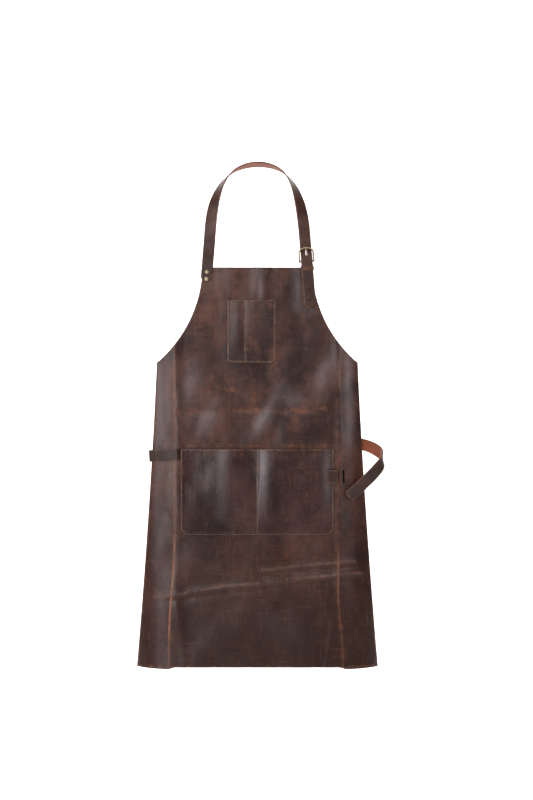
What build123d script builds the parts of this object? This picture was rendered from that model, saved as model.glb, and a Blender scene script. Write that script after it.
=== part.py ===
from build123d import *
import os
from math import asin, atan2, cos, degrees, hypot, radians, sin, tan

os.makedirs("parts", exist_ok=True)

# A leather work apron hanging by its neck loop, in millimetres.
# The origin is where a hook bears on the loop: the underside of the neck strap at its top.
# The front of the apron faces -Y, its height runs along Z, and +X is the wearer's left.

# ---------------------------------------------------------------- hide
hide_thick = 2.4            # the one big piece of leather
panel_y = -1.2              # mid-thickness of the flat front panel, so the weight hangs below the loop
bib_top = -220.0            # height of the bib's straight top edge
bib_half = 119.0            # half width of that edge
armhole_start = -244.0      # where the armhole curve leaves the bib's short upright side
armhole_mid = (145.0, -333.0)
armhole_end = (209.0, -419.0)
shoulder = (216.0, -424.0)  # the nipped corner where armhole and side meet
side_mid = (234.0, -740.0)
hem_half = 262.0
hem = -1080.0
hem_drop = 4.0              # the side flaps hang this much lower than the middle
crease_x = 174.0            # the vertical creases where the side flaps turn back
flap_depth = 45.0           # how far back the flap's edge stands at the hem

# ---------------------------------------------------------------- pockets
pocket_leather = 1.8
pocket_bulge = 4.8          # how far a pocket stands open
pocket_slope = 5.0          # run of a pocket's sloping sides
pocket_wall = 2.4           # leather left in those slopes
bib_pocket_left = -64.0
bib_pocket_right = 39.0
bib_pocket_seam = -26.5     # divides a pencil slot from the wider slot
bib_pocket_top = -290.0
bib_pocket_bottom = -426.0
bib_pocket_corner = 12.0
bib_pocket_margin = 5.0
waist_pocket_half = 164.5
waist_pocket_top = -611.0
waist_pocket_bottom = -796.0
waist_pocket_corner = 20.0
waist_pocket_margin = 15.0
seam_half = 3.5             # half of the flat band a dividing seam needs

# ---------------------------------------------------------------- straps
strap_width = 25.0
strap_thick = 3.0
fold_z = -165.0             # the line on which the neck strap flexes above the bib
fold_half_x = 103.0
fold_angle = 45.0           # each way
strap_lean = 4.5            # degrees, the legs lean inwards going up
loop_half = 89.0            # half width of the neck loop's round top
loop_drop = 70.0            # height at which the round top meets the legs
loop_shoulder = 55.0        # half width of the flatter stretch at the very top
loop_shoulder_drop = 16.5
loop_turn = 106.0           # degrees the strap is turned between the bib and the loop's top
left_end_drop = 85.0        # end of the riveted leg, measured down the leg from the fold
tail_drop = 142.0           # tip of the buckled leg's free tail
flex_gap = 0.3              # the cut that stands for a flexing place

# ---------------------------------------------------------------- rivets
rivet_cap_r = 4.4
rivet_cap_height = 1.5
rivet_shank_r = 1.6
rivet_fit = 0.05
strap_rivet_drops = (65.0, 80.0)
tab_rivet_drops = (67.0, 79.0)

# ---------------------------------------------------------------- buckle
keeper_thick = 1.2
keeper_height = 10.0
keeper_drop = 52.0          # top of the keeper, down the leg from the fold
tab_thick = 2.0
tab_drop = 86.0             # lower end of the tab
bar_drop = 42.0             # bar of the buckle
bar_clearance = 0.25
layer_fit = 0.05
frame_wire_r = 1.75
frame_half = 15.25          # half the distance between the centres of the side rails
frame_height = 29.0         # bar centre to the centre of the round end
frame_arch = 9.5            # rise of the round end's arch
eyelet_r = 2.7
bar_stub = 0.7
prong_thick = 2.4
prong_eye_r = 3.0
prong_clearance = 0.08
prong_slot = 4.2
prong_hole_width = 4.4
prong_hole_travel = 6.4      # the hole is longer than wide, so that the prong can lift
adjusting_pitch = 25.0
adjusting_hole_r = 1.9

# ---------------------------------------------------------------- waist strap, its slots and keeper
waist_left_z = -622.0
waist_right_z = -600.0
slot_x = 168.5              # centre of the left slot, just outside the pocket
slot_width = 9.0
right_slot_x = 181.5
right_slot_width = 4.6
slot_height = 28.0
right_slot_z = -669.5
waist_gap = 0.3             # strap to hide
anchor_length = 40.0        # strap end sewn on behind the hide
loop_keeper_left = 151.0
loop_keeper_right = 173.0
loop_keeper_height = 31.0
loop_keeper_leather = 2.2
loop_keeper_room = 4.8      # front to back room for the strap
end_root_x = 214.0          # where the waist strap's free end starts to flex

# ---------------------------------------------------------------- thread
stitch_pitch = 5.0
stitch_length = 3.4
stitch_thick = 0.8
stitch_inset = 2.5

# ---------------------------------------------------------------- derived planes
hide_front = panel_y - hide_thick / 2
hide_back = panel_y + hide_thick / 2
flap_run = hem_half - crease_x
flap_radius = (flap_run**2 + flap_depth**2) / (2 * flap_depth)

tab_front_inner = hide_front - keeper_thick - 2 * layer_fit
tab_front_outer = tab_front_inner - tab_thick
tab_back_inner = hide_back + layer_fit
tab_back_outer = tab_back_inner + tab_thick
bar_y = (tab_front_inner + tab_back_inner) / 2
tab_loop_r = (tab_back_inner - tab_front_inner) / 2
bar_r = tab_loop_r - bar_clearance
tail_inner = tab_front_outer - rivet_cap_height - 0.2
tail_y = tail_inner - strap_thick / 2
tail_outer = tail_inner - strap_thick
left_leg_y = hide_front - strap_thick / 2
rail_back_y = bar_y + frame_wire_r + waist_gap + strap_thick / 2
fold_gap = strap_thick * tan(radians(fold_angle / 2)) + 2 * flex_gap


def leg_point(side, drop, y):
    """A point on a strap leg, drop down the leaning leg from the fold; side is -1 or +1."""
    lean = radians(strap_lean)
    return (side * (fold_half_x + drop * sin(lean)), y, fold_z - drop * cos(lean))


def across(side):
    lean = radians(strap_lean)
    return (cos(lean), 0, side * sin(lean))


def leg_front(side, drop, y):
    """Plane facing the viewer on a leg: local x across the strap, local y up along it."""
    return Plane(origin=leg_point(side, drop, y), x_dir=across(side), z_dir=(0, -1, 0))


def leg_profile(side):
    """Plane for a leg's side view, at the fold: local x is world Y, local y up along the leg."""
    return Plane(origin=leg_point(side, 0, 0), x_dir=(0, 1, 0), z_dir=across(side))


def front_plane(y):
    """Plane facing the viewer: local x is world X, local y is world Z."""
    return Plane(origin=(0, y, 0), x_dir=(1, 0, 0), z_dir=(0, -1, 0))


def rivet_places(side, drops):
    return [leg_point(side, drop, 0) for drop in drops]


# ================================================================ the hide
with BuildPart() as apron_body:
    with BuildSketch(Plane.XY.offset(hem - hem_drop)):
        with BuildLine():
            Line((-crease_x, panel_y), (crease_x, panel_y))
            for side in (-1, 1):
                TangentArc(
                    (side * crease_x, panel_y),
                    (side * hem_half, panel_y + flap_depth),
                    tangent=(side, 0),
                )
        trace(line_width=hide_thick)
    extrude(amount=bib_top - hem + hem_drop)
    with BuildSketch(front_plane(0)):
        with BuildLine():
            Polyline((0, bib_top), (bib_half, bib_top), (bib_half + 0.5, armhole_start))
            ThreePointArc((bib_half + 0.5, armhole_start), armhole_mid, armhole_end)
            Line(armhole_end, shoulder)
            ThreePointArc(shoulder, side_mid, (hem_half - 0.5, hem - hem_drop))
            Polyline(
                (hem_half - 0.5, hem - hem_drop),
                (crease_x + 18, hem - hem_drop),
                (crease_x + 3, hem),
                (0, hem),
            )
            mirror(about=Plane.YZ)
        make_face()
    extrude(amount=200, both=True, mode=Mode.INTERSECT)
    with BuildSketch(front_plane(0)):
        with Locations((-slot_x, waist_left_z)):
            Rectangle(slot_width, slot_height)
        with Locations((right_slot_x, right_slot_z)):
            Rectangle(right_slot_width, slot_height)
        for x, y, z in rivet_places(-1, strap_rivet_drops) + rivet_places(1, tab_rivet_drops):
            with Locations((x, z)):
                Circle(rivet_shank_r + rivet_fit)
    extrude(amount=100, both=True, mode=Mode.SUBTRACT)
apron_body.part.label = "apron_body"
export_step(apron_body.part, "parts/apron_body.step")


# ================================================================ pockets
def pocket_outline(left, right, top, bottom, corner):
    """A patch pocket's outline: square at the top, rounded at the two bottom corners."""
    with BuildLine() as outline:
        Polyline((left, bottom + corner), (left, top), (right, top), (right, bottom + corner))
        RadiusArc((right, bottom + corner), (right - corner, bottom), corner)
        Line((right - corner, bottom), (left + corner, bottom))
        RadiusArc((left + corner, bottom), (left, bottom + corner), corner)
    make_face(outline.edges())


def pocket_cell(left, right, depth, inset):
    """Plan of one pocket cell: a low trapezium standing off the hide's front."""
    run = pocket_slope * depth / (pocket_bulge + pocket_leather)
    with BuildLine() as trapezium:
        Polyline(
            (left + inset, hide_front),
            (left + inset + run, hide_front - depth),
            (right - inset - run, hide_front - depth),
            (right - inset, hide_front),
            close=True,
        )
    make_face(trapezium.edges())


bib_cells = (
    (bib_pocket_left + bib_pocket_margin, bib_pocket_seam - seam_half),
    (bib_pocket_seam + seam_half, bib_pocket_right - bib_pocket_margin),
)
waist_cells = (
    (-waist_pocket_half + waist_pocket_margin, -seam_half),
    (seam_half, waist_pocket_half - waist_pocket_margin),
)
pocket_stand = pocket_bulge + pocket_leather

with BuildPart() as bib_pocket:
    with BuildSketch(front_plane(hide_front)):
        pocket_outline(
            bib_pocket_left, bib_pocket_right, bib_pocket_top, bib_pocket_bottom, bib_pocket_corner
        )
    extrude(amount=pocket_leather)
    for left, right in bib_cells:
        with BuildSketch(Plane.XY.offset(bib_pocket_bottom + bib_pocket_margin)):
            pocket_cell(left, right, pocket_stand, 0)
        extrude(amount=bib_pocket_top - bib_pocket_bottom - bib_pocket_margin)
    chamfer(
        bib_pocket.edges().filter_by(Axis.X).group_by(Axis.Y)[0].group_by(Axis.Z)[0],
        pocket_bulge * 0.9,
    )
    for left, right in bib_cells:
        with BuildSketch(Plane.XY.offset(bib_pocket_bottom + bib_pocket_margin + pocket_stand)):
            pocket_cell(left, right, pocket_bulge, pocket_wall)
        extrude(amount=bib_pocket_top - bib_pocket_bottom, mode=Mode.SUBTRACT)
bib_pocket.part.label = "bib_pocket"
export_step(bib_pocket.part, "parts/bib_pocket.step")

with BuildPart() as waist_pocket:
    with BuildSketch(front_plane(hide_front)):
        pocket_outline(
            -waist_pocket_half,
            waist_pocket_half,
            waist_pocket_top,
            waist_pocket_bottom,
            waist_pocket_corner,
        )
    extrude(amount=pocket_leather)
    for left, right in waist_cells:
        with BuildSketch(Plane.XY.offset(waist_pocket_bottom + waist_pocket_margin)):
            pocket_cell(left, right, pocket_stand, 0)
        extrude(amount=waist_pocket_top - waist_pocket_bottom - waist_pocket_margin)
    chamfer(
        waist_pocket.edges().filter_by(Axis.X).group_by(Axis.Y)[0].group_by(Axis.Z)[0],
        pocket_bulge * 0.9,
    )
    for left, right in waist_cells:
        with BuildSketch(Plane.XY.offset(waist_pocket_bottom + waist_pocket_margin + pocket_stand)):
            pocket_cell(left, right, pocket_bulge, pocket_wall)
        extrude(amount=waist_pocket_top - waist_pocket_bottom, mode=Mode.SUBTRACT)
waist_pocket.part.label = "waist_pocket"
export_step(waist_pocket.part, "parts/waist_pocket.step")


# ================================================================ the neck loop
def twist(share):
    """How far the strap has turned, in degrees, at a share of the way from the fold to the top."""
    return loop_turn * sin(radians(90 * share)) ** 2


def loop_section(path, share):
    """Plane square to the loop's path, with its x direction across the strap's width."""
    from_fold = 1 - abs(2 * share - 1)
    along = path @ share
    heading = path % share
    inward = Vector(0, 1, 0).cross(heading)
    turn = -radians(twist(from_fold))
    width_dir = inward * cos(turn) + Vector(0, 1, 0) * sin(turn)
    return Plane(origin=along, x_dir=width_dir, z_dir=heading)


crown = strap_thick / 2
left_fold = leg_point(-1, -fold_gap / 2, 0)
right_fold = leg_point(1, -fold_gap / 2, 0)
loop_path = Spline(
    left_fold,
    (-loop_half, 0, -loop_drop),
    (-loop_shoulder, 0, -loop_shoulder_drop),
    (0, 0, crown),
    (loop_shoulder, 0, -loop_shoulder_drop),
    (loop_half, 0, -loop_drop),
    right_fold,
    tangents=((sin(radians(strap_lean)), 0, 1), (sin(radians(strap_lean)), 0, -1)),
)
loop_steps = 14
with BuildPart() as neck_strap:
    for step in range(loop_steps + 1):
        with BuildSketch(loop_section(loop_path, step / loop_steps)):
            Rectangle(strap_width, strap_thick)
    loft()
neck_strap.part.label = "neck_strap"
export_step(neck_strap.part, "parts/neck_strap.step")

# ================================================================ riveted leg and its rivets
with BuildPart() as neck_strap_riveted_end:
    with BuildSketch(leg_profile(-1)):
        with BuildLine():
            FilletPolyline(
                (0, -fold_gap / 2),
                (0, -18),
                (left_leg_y, -48),
                (left_leg_y, -left_end_drop),
                radius=30,
            )
        trace(line_width=strap_thick)
    extrude(amount=strap_width / 2, both=True)
    fillet(neck_strap_riveted_end.edges().filter_by(Axis.Y).group_by(Axis.Z)[0], 10)
    for drop in strap_rivet_drops:
        with BuildSketch(leg_front(-1, drop, left_leg_y)):
            Circle(rivet_shank_r + rivet_fit)
        extrude(amount=strap_thick, both=True, mode=Mode.SUBTRACT)
neck_strap_riveted_end.part.label = "neck_strap_riveted_end"
export_step(neck_strap_riveted_end.part, "parts/neck_strap_riveted_end.step")


def rivet_cap(side, drop, front, back):
    """A domed cap lying on the face at front, with its shank running back to the face at back."""
    with BuildSketch(leg_front(side, drop, front)) as cap:
        Circle(rivet_cap_r)
    extrude(cap.sketch, amount=rivet_cap_height)
    with BuildSketch(leg_front(side, drop, front)) as shank:
        Circle(rivet_shank_r)
    extrude(shank.sketch, amount=front - back)


def rivet_back(side, drop, back):
    """The flat closing disc behind the leather, on the end of the cap's shank."""
    with BuildSketch(leg_front(side, drop, back)) as disc:
        Circle(rivet_cap_r - 0.4)
    extrude(disc.sketch, amount=-rivet_cap_height)


def dome(part):
    return part.edges().filter_by(GeomType.CIRCLE).group_by(Axis.Y)


with BuildPart() as strap_rivet_caps:
    for drop in strap_rivet_drops:
        rivet_cap(-1, drop, left_leg_y - strap_thick / 2, hide_back)
    fillet(dome(strap_rivet_caps)[0], rivet_cap_height * 0.8)
strap_rivet_caps.part.label = "strap_rivet_caps"
export_step(strap_rivet_caps.part, "parts/strap_rivet_caps.step")

with BuildPart() as strap_rivet_backs:
    for drop in strap_rivet_drops:
        rivet_back(-1, drop, hide_back)
    fillet(dome(strap_rivet_backs)[-1], rivet_cap_height * 0.6)
strap_rivet_backs.part.label = "strap_rivet_backs"
export_step(strap_rivet_backs.part, "parts/strap_rivet_backs.step")

# ================================================================ buckle tab and its rivets
with BuildPart() as buckle_tab:
    with BuildSketch(leg_profile(1)):
        with BuildLine():
            Line(
                (tab_front_inner - tab_thick / 2, -tab_drop),
                (tab_front_inner - tab_thick / 2, -bar_drop),
            )
            ThreePointArc(
                (tab_front_inner - tab_thick / 2, -bar_drop),
                (bar_y, -bar_drop + tab_loop_r + tab_thick / 2),
                (tab_back_inner + tab_thick / 2, -bar_drop),
            )
            Line(
                (tab_back_inner + tab_thick / 2, -bar_drop),
                (tab_back_inner + tab_thick / 2, -tab_drop),
            )
        trace(line_width=tab_thick)
    extrude(amount=strap_width / 2, both=True)
    fillet(buckle_tab.edges().filter_by(Axis.Y).group_by(Axis.Z)[0], 10)
    with BuildSketch(leg_front(1, bar_drop, 0)):
        SlotCenterToCenter(10, prong_slot, rotation=90)
    extrude(amount=30, both=True, mode=Mode.SUBTRACT)
    for drop in tab_rivet_drops:
        with BuildSketch(leg_front(1, drop, 0)):
            Circle(rivet_shank_r + rivet_fit)
        extrude(amount=30, both=True, mode=Mode.SUBTRACT)
buckle_tab.part.label = "buckle_tab"
export_step(buckle_tab.part, "parts/buckle_tab.step")

with BuildPart() as tab_rivet_caps:
    for drop in tab_rivet_drops:
        rivet_cap(1, drop, tab_front_outer, tab_back_outer)
    fillet(dome(tab_rivet_caps)[0], rivet_cap_height * 0.8)
tab_rivet_caps.part.label = "tab_rivet_caps"
export_step(tab_rivet_caps.part, "parts/tab_rivet_caps.step")

with BuildPart() as tab_rivet_backs:
    for drop in tab_rivet_drops:
        rivet_back(1, drop, tab_back_outer)
    fillet(dome(tab_rivet_backs)[-1], rivet_cap_height * 0.6)
tab_rivet_backs.part.label = "tab_rivet_backs"
export_step(tab_rivet_backs.part, "parts/tab_rivet_backs.step")

# ================================================================ buckle
bar_axis_plane = Plane(leg_point(1, bar_drop, bar_y), x_dir=(0, 1, 0), z_dir=across(1))
rail_rise = frame_height - frame_arch
with BuildPart() as buckle_frame:
    with BuildLine(leg_front(1, bar_drop, bar_y)) as horseshoe:
        Line((-frame_half, 0), (-frame_half, rail_rise))
        EllipticalCenterArc(
            (0, rail_rise),
            frame_half,
            frame_arch,
            start_angle=180,
            arc_size=-180,
        )
        Line((frame_half, rail_rise), (frame_half, 0))
    with BuildSketch(Plane(origin=horseshoe.line @ 0, z_dir=horseshoe.line % 0)):
        Circle(frame_wire_r)
    sweep()
    for side in (-1, 1):
        with BuildSketch(bar_axis_plane.offset(side * frame_half)):
            Circle(eyelet_r)
        extrude(amount=frame_wire_r + 0.1, both=True)
    with BuildSketch(bar_axis_plane):
        Circle(bar_r)
    extrude(amount=frame_half + 5, both=True, mode=Mode.SUBTRACT)
buckle_frame.part.label = "buckle_frame"
export_step(buckle_frame.part, "parts/buckle_frame.step")

with BuildPart() as buckle_bar:
    with BuildSketch(bar_axis_plane):
        Circle(bar_r)
    extrude(amount=frame_half + frame_wire_r + bar_stub, both=True)
buckle_bar.part.label = "buckle_bar"
export_step(buckle_bar.part, "parts/buckle_bar.step")

prong_front = -(frame_wire_r + prong_thick / 2 + prong_clearance)
with BuildPart() as buckle_prong:
    with BuildSketch(bar_axis_plane):
        with BuildLine():
            FilletPolyline(
                (-bar_r - 0.4, 0.5),
                (prong_front, frame_height - 6),
                (prong_front + 0.1, frame_height + 1.8),
                radius=20,
            )
        trace(line_width=prong_thick)
        Circle(prong_eye_r)
        Circle(bar_r + prong_clearance, mode=Mode.SUBTRACT)
    extrude(amount=prong_thick / 2, both=True)
    tip = buckle_prong.edges().filter_by(Axis(bar_axis_plane.origin, bar_axis_plane.z_dir))
    fillet(tip.group_by(Axis.Z)[-1], 0.8)
buckle_prong.part.label = "buckle_prong"
export_step(buckle_prong.part, "parts/buckle_prong.step")

# ================================================================ buckled leg, keeper and tail
keeper_end_drop = keeper_drop + keeper_height
tail_start = keeper_end_drop + 3
with BuildPart() as neck_strap_buckled:
    with BuildSketch(leg_profile(1)):
        with BuildLine():
            FilletPolyline(
                (0, -fold_gap / 2),
                (rail_back_y, -bar_drop + frame_height + 6),
                (rail_back_y, -bar_drop + rail_rise + 3.4),
                (tail_y, -bar_drop + rail_rise - 5.2),
                (tail_y, -tail_start),
                radius=2.6,
            )
        trace(line_width=strap_thick)
    extrude(amount=strap_width / 2, both=True)
    with BuildSketch(leg_front(1, bar_drop - rail_rise + 2, 0)):
        SlotCenterToCenter(prong_hole_travel, prong_hole_width, rotation=90)
    extrude(amount=30, both=True, mode=Mode.SUBTRACT)
neck_strap_buckled.part.label = "neck_strap_buckled"
export_step(neck_strap_buckled.part, "parts/neck_strap_buckled.step")

with BuildPart() as neck_strap_tail:
    with BuildSketch(leg_front(1, tail_start + flex_gap, tail_inner)):
        with BuildLine():
            length = tail_drop - tail_start - flex_gap
            half = strap_width / 2
            Polyline((-half, -length + 16), (-half, 0), (half, 0), (half, -length + 16))
            RadiusArc((half, -length + 16), (0, -length), 22)
            RadiusArc((0, -length), (-half, -length + 16), 22)
        make_face()
        for step in range(2):
            with Locations((0, -16 - step * adjusting_pitch)):
                Circle(adjusting_hole_r, mode=Mode.SUBTRACT)
    extrude(amount=strap_thick)
neck_strap_tail.part.label = "neck_strap_tail"
export_step(neck_strap_tail.part, "parts/neck_strap_tail.step")

with BuildPart() as strap_keeper:
    keeper_inner = (hide_front - layer_fit - keeper_thick, tail_outer - 0.15)
    keeper_mid = (keeper_inner[0] + keeper_inner[1]) / 2
    keeper_deep = keeper_inner[0] - keeper_inner[1]
    heading = leg_front(1, 0, 0).y_dir
    with BuildSketch(Plane(leg_point(1, keeper_end_drop, keeper_mid), across(1), heading)):
        RectangleRounded(
            strap_width + 2 * (0.3 + keeper_thick), keeper_deep + 2 * keeper_thick, 1.1
        )
        Rectangle(strap_width + 2 * 0.3, keeper_deep, mode=Mode.SUBTRACT)
    extrude(amount=keeper_height)
strap_keeper.part.label = "strap_keeper"
export_step(strap_keeper.part, "parts/strap_keeper.step")

# ================================================================ waist strap
strap_offset = hide_thick / 2 + waist_gap + strap_thick / 2


def hide_edge(z):
    """Half width of the hide at a height below the shoulder, from the arc of its side edge."""
    edge = ThreePointArc(shoulder, side_mid, (hem_half - 0.5, hem - hem_drop))
    share = (shoulder[1] - z) / (shoulder[1] - hem + hem_drop)
    return (edge @ share).X


left_edge = hide_edge(waist_left_z - strap_width) + 0.6
edge_angle = asin((left_edge - crease_x) / flap_radius)
wrap_centre = (-left_edge, panel_y + flap_radius * (1 - cos(edge_angle)))
back_y = wrap_centre[1] + strap_offset
rise = waist_right_z - waist_left_z
tilt = atan2(rise, end_root_x + slot_x)
strap_x = (cos(tilt), 0, sin(tilt))
strap_up = (-sin(tilt), 0, cos(tilt))
waist_plane = Plane(
    origin=(0, 0, waist_left_z + slot_x * tan(tilt)), x_dir=strap_x, z_dir=strap_up
)

with BuildPart() as waist_strap:
    with BuildSketch(waist_plane):
        with BuildLine():
            FilletPolyline(
                (-slot_x + anchor_length, panel_y + strap_offset),
                (-slot_x + 3.3, panel_y + strap_offset),
                (-slot_x - 3.8, panel_y - strap_offset),
                (-crease_x - 1, panel_y - strap_offset),
                radius=1.9,
            )
            front_radius = flap_radius + strap_offset
            turn = degrees(edge_angle)
            CenterArc((-crease_x - 1, panel_y + flap_radius), front_radius, 270, -turn)
            CenterArc(
                (wrap_centre[0] - 1, wrap_centre[1]), strap_offset, 270 - turn, -(180 - turn)
            )
            Line((wrap_centre[0] - 1, back_y), (end_root_x, back_y))
        trace(line_width=strap_thick)
    extrude(amount=strap_width / 2, both=True)
waist_strap.part.label = "waist_strap"
export_step(waist_strap.part, "parts/waist_strap.step")

end_z = waist_right_z
end_stations = (
    # centre, heading, direction across the strap's width (towards its upper edge)
    ((end_root_x + flex_gap, back_y, end_z), strap_x, strap_up),
    ((236, back_y - 0.5, end_z - 3.5), (0.95, -0.05, -0.3), (0.3, 0, 0.95)),
    ((258, back_y - 5, end_z - 14), (0.75, -0.45, -0.5), (0.42, -0.25, 0.87)),
    ((269, -2, end_z - 30), (-0.05, -0.8, -0.6), (-0.1, -0.6, 0.8)),
    ((258, -15, end_z - 52), (-0.65, -0.25, -0.72), (-0.66, -0.25, 0.71)),
    ((236, -17.5, end_z - 77), (-0.66, 0.0, -0.75), (-0.75, 0, 0.66)),
    ((209, -13.0, end_z - 107), (-0.66, 0.14, -0.74), (-0.75, 0, 0.66)),
)
with BuildPart() as waist_strap_end:
    for centre, heading, width_dir in end_stations:
        with BuildSketch(Plane(origin=centre, x_dir=width_dir, z_dir=heading)):
            Rectangle(strap_width, strap_thick)
    tip_centre, heading, width_dir = end_stations[-1]
    tip = Vector(tip_centre) + Vector(heading).normalized() * 9
    with BuildSketch(Plane(origin=tip, x_dir=width_dir, z_dir=heading)):
        Rectangle(strap_width * 0.5, strap_thick)
    loft()
waist_strap_end.part.label = "waist_strap_end"
export_step(waist_strap_end.part, "parts/waist_strap_end.step")

# ================================================================ waist keeper
pocket_front = hide_front - pocket_leather
with BuildPart() as waist_keeper:
    with BuildSketch(Plane.YZ.offset(loop_keeper_left)):
        with Locations(((hide_front + pocket_front - loop_keeper_room) / 2, right_slot_z)):
            reach = hide_front - pocket_front + loop_keeper_room
            Rectangle(reach + 2 * loop_keeper_leather, loop_keeper_height)
            Rectangle(reach, loop_keeper_height - 2 * loop_keeper_leather, mode=Mode.SUBTRACT)
    extrude(amount=loop_keeper_right - loop_keeper_left)
    with BuildSketch(front_plane(pocket_front - layer_fit)):
        with Locations((waist_pocket_half - 49.8, right_slot_z)):
            Rectangle(100, 60)
    extrude(amount=-40, mode=Mode.SUBTRACT)
    with BuildSketch(front_plane(hide_front - layer_fit)):
        with Locations((waist_pocket_half, right_slot_z)):
            Rectangle(100, 60)
    extrude(amount=-40, mode=Mode.SUBTRACT)
    fillet(waist_keeper.edges().filter_by(Axis.X).group_by(Axis.Y)[0], 1.6)
waist_keeper.part.label = "waist_keeper"
export_step(waist_keeper.part, "parts/waist_keeper.step")


# ================================================================ stitches
def stitch_row(start, end, skip_first=False):
    """Short lengths of thread lying end to end along one straight stretch of seam."""
    length = hypot(end[0] - start[0], end[1] - start[1])
    angle = degrees(atan2(end[1] - start[1], end[0] - start[0]))
    count = max(1, round(length / stitch_pitch))
    for step in range(count):
        share = (step + 0.5) / count
        place = (start[0] + (end[0] - start[0]) * share, start[1] + (end[1] - start[1]) * share)
        with Locations(place):
            Rectangle(stitch_length, stitch_thick, rotation=angle)


def stitch_corner(centre, radius, first, last):
    """Stitches round one rounded pocket corner, from one bearing to another in degrees."""
    count = max(1, round(radius * radians(abs(last - first)) / stitch_pitch))
    for step in range(count):
        bearing = first + (last - first) * (step + 0.5) / count
        place = (
            centre[0] + radius * cos(radians(bearing)),
            centre[1] + radius * sin(radians(bearing)),
        )
        with Locations(place):
            Rectangle(stitch_length, stitch_thick, rotation=bearing + 90)


def pocket_seams(left, right, top, bottom, corner, divider):
    low = bottom + corner
    inner = corner - stitch_inset
    stitch_row((left + stitch_inset, top - 1), (left + stitch_inset, low))
    stitch_row((right - stitch_inset, top - 1), (right - stitch_inset, low))
    stitch_row((left + corner, bottom + stitch_inset), (right - corner, bottom + stitch_inset))
    stitch_row((divider, top - 1), (divider, bottom + stitch_inset + 1.5))
    stitch_corner((left + corner, low), inner, 180, 270)
    stitch_corner((right - corner, low), inner, 270, 360)


with BuildPart() as bib_pocket_stitches:
    with BuildSketch(front_plane(pocket_front)):
        pocket_seams(
            bib_pocket_left,
            bib_pocket_right,
            bib_pocket_top,
            bib_pocket_bottom,
            bib_pocket_corner,
            bib_pocket_seam,
        )
    extrude(amount=stitch_thick / 2)
bib_pocket_stitches.part.label = "bib_pocket_stitches"
export_step(bib_pocket_stitches.part, "parts/bib_pocket_stitches.step")

with BuildPart() as waist_pocket_stitches:
    with BuildSketch(front_plane(pocket_front)):
        pocket_seams(
            -waist_pocket_half,
            waist_pocket_half,
            waist_pocket_top,
            waist_pocket_bottom,
            waist_pocket_corner,
            0,
        )
        with Locations((waist_pocket_half, right_slot_z)):
            Rectangle(40, loop_keeper_height + 1, mode=Mode.SUBTRACT)
    extrude(amount=stitch_thick / 2)
waist_pocket_stitches.part.label = "waist_pocket_stitches"
export_step(waist_pocket_stitches.part, "parts/waist_pocket_stitches.step")

with BuildPart() as waist_keeper_stitches:
    keeper_face = pocket_front - loop_keeper_room - loop_keeper_leather
    with BuildSketch(front_plane(keeper_face)):
        for end in (-1, 1):
            row = right_slot_z + end * (loop_keeper_height / 2 - stitch_inset)
            stitch_row((loop_keeper_left + 2, row), (loop_keeper_right - 2, row))
    extrude(amount=stitch_thick / 2)
waist_keeper_stitches.part.label = "waist_keeper_stitches"
export_step(waist_keeper_stitches.part, "parts/waist_keeper_stitches.step")

anchor_face = panel_y + strap_offset + strap_thick / 2
waist_anchor_seam = Plane(
    origin=Vector(waist_plane.origin) + Vector(0, anchor_face, 0), x_dir=strap_x, z_dir=(0, -1, 0)
)
with BuildPart() as waist_anchor_stitches:
    with BuildSketch(waist_anchor_seam):
        for x in (-slot_x + 12, -slot_x + anchor_length - 4):
            stitch_row((x, -strap_width / 2 + 3), (x, strap_width / 2 - 3))
    extrude(amount=-stitch_thick / 2)
waist_anchor_stitches.part.label = "waist_anchor_stitches"
export_step(waist_anchor_stitches.part, "parts/waist_anchor_stitches.step")
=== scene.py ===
# %% [markdown]
# A leather work apron hanging by its neck loop.
# The design is already packed, with its sizes and joints. This lesson gives each piece its
# real surface: bent hide, patch pockets that stand a little open, flat straps that twist,
# waxed thread and aged brass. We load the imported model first, because every place in the
# lesson is measured from it.

# %% Load the frame
import math

import bpy
import numpy as np
from mathutils import Matrix, Vector, noise


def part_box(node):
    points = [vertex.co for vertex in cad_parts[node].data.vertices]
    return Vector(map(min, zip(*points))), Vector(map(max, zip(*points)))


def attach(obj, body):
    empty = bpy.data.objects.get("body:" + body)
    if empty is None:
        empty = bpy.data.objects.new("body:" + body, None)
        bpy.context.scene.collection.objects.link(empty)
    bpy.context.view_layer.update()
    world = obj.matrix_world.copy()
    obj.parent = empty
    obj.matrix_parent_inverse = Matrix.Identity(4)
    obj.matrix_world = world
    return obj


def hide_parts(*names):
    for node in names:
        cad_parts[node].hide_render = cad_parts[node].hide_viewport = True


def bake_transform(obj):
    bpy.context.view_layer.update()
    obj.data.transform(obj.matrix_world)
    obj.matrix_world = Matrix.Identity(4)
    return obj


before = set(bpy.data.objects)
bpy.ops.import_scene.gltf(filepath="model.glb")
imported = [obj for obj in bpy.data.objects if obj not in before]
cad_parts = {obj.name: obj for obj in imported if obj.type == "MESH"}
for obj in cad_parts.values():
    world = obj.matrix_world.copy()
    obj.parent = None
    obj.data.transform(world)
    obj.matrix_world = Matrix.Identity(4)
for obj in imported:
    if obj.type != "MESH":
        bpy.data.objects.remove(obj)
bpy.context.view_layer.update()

# %% [markdown]
# The camera comes first, so that every picture shows the same view. It stands level
# with the middle of the apron, a good three and a half metres in front. The far stand
# keeps the sides nearly parallel.

# %% Camera
MM = 0.001
view_distance = 3.6
view_centre = Vector((0.0198, 0.0, -0.505))
view_height = 1.72

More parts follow.
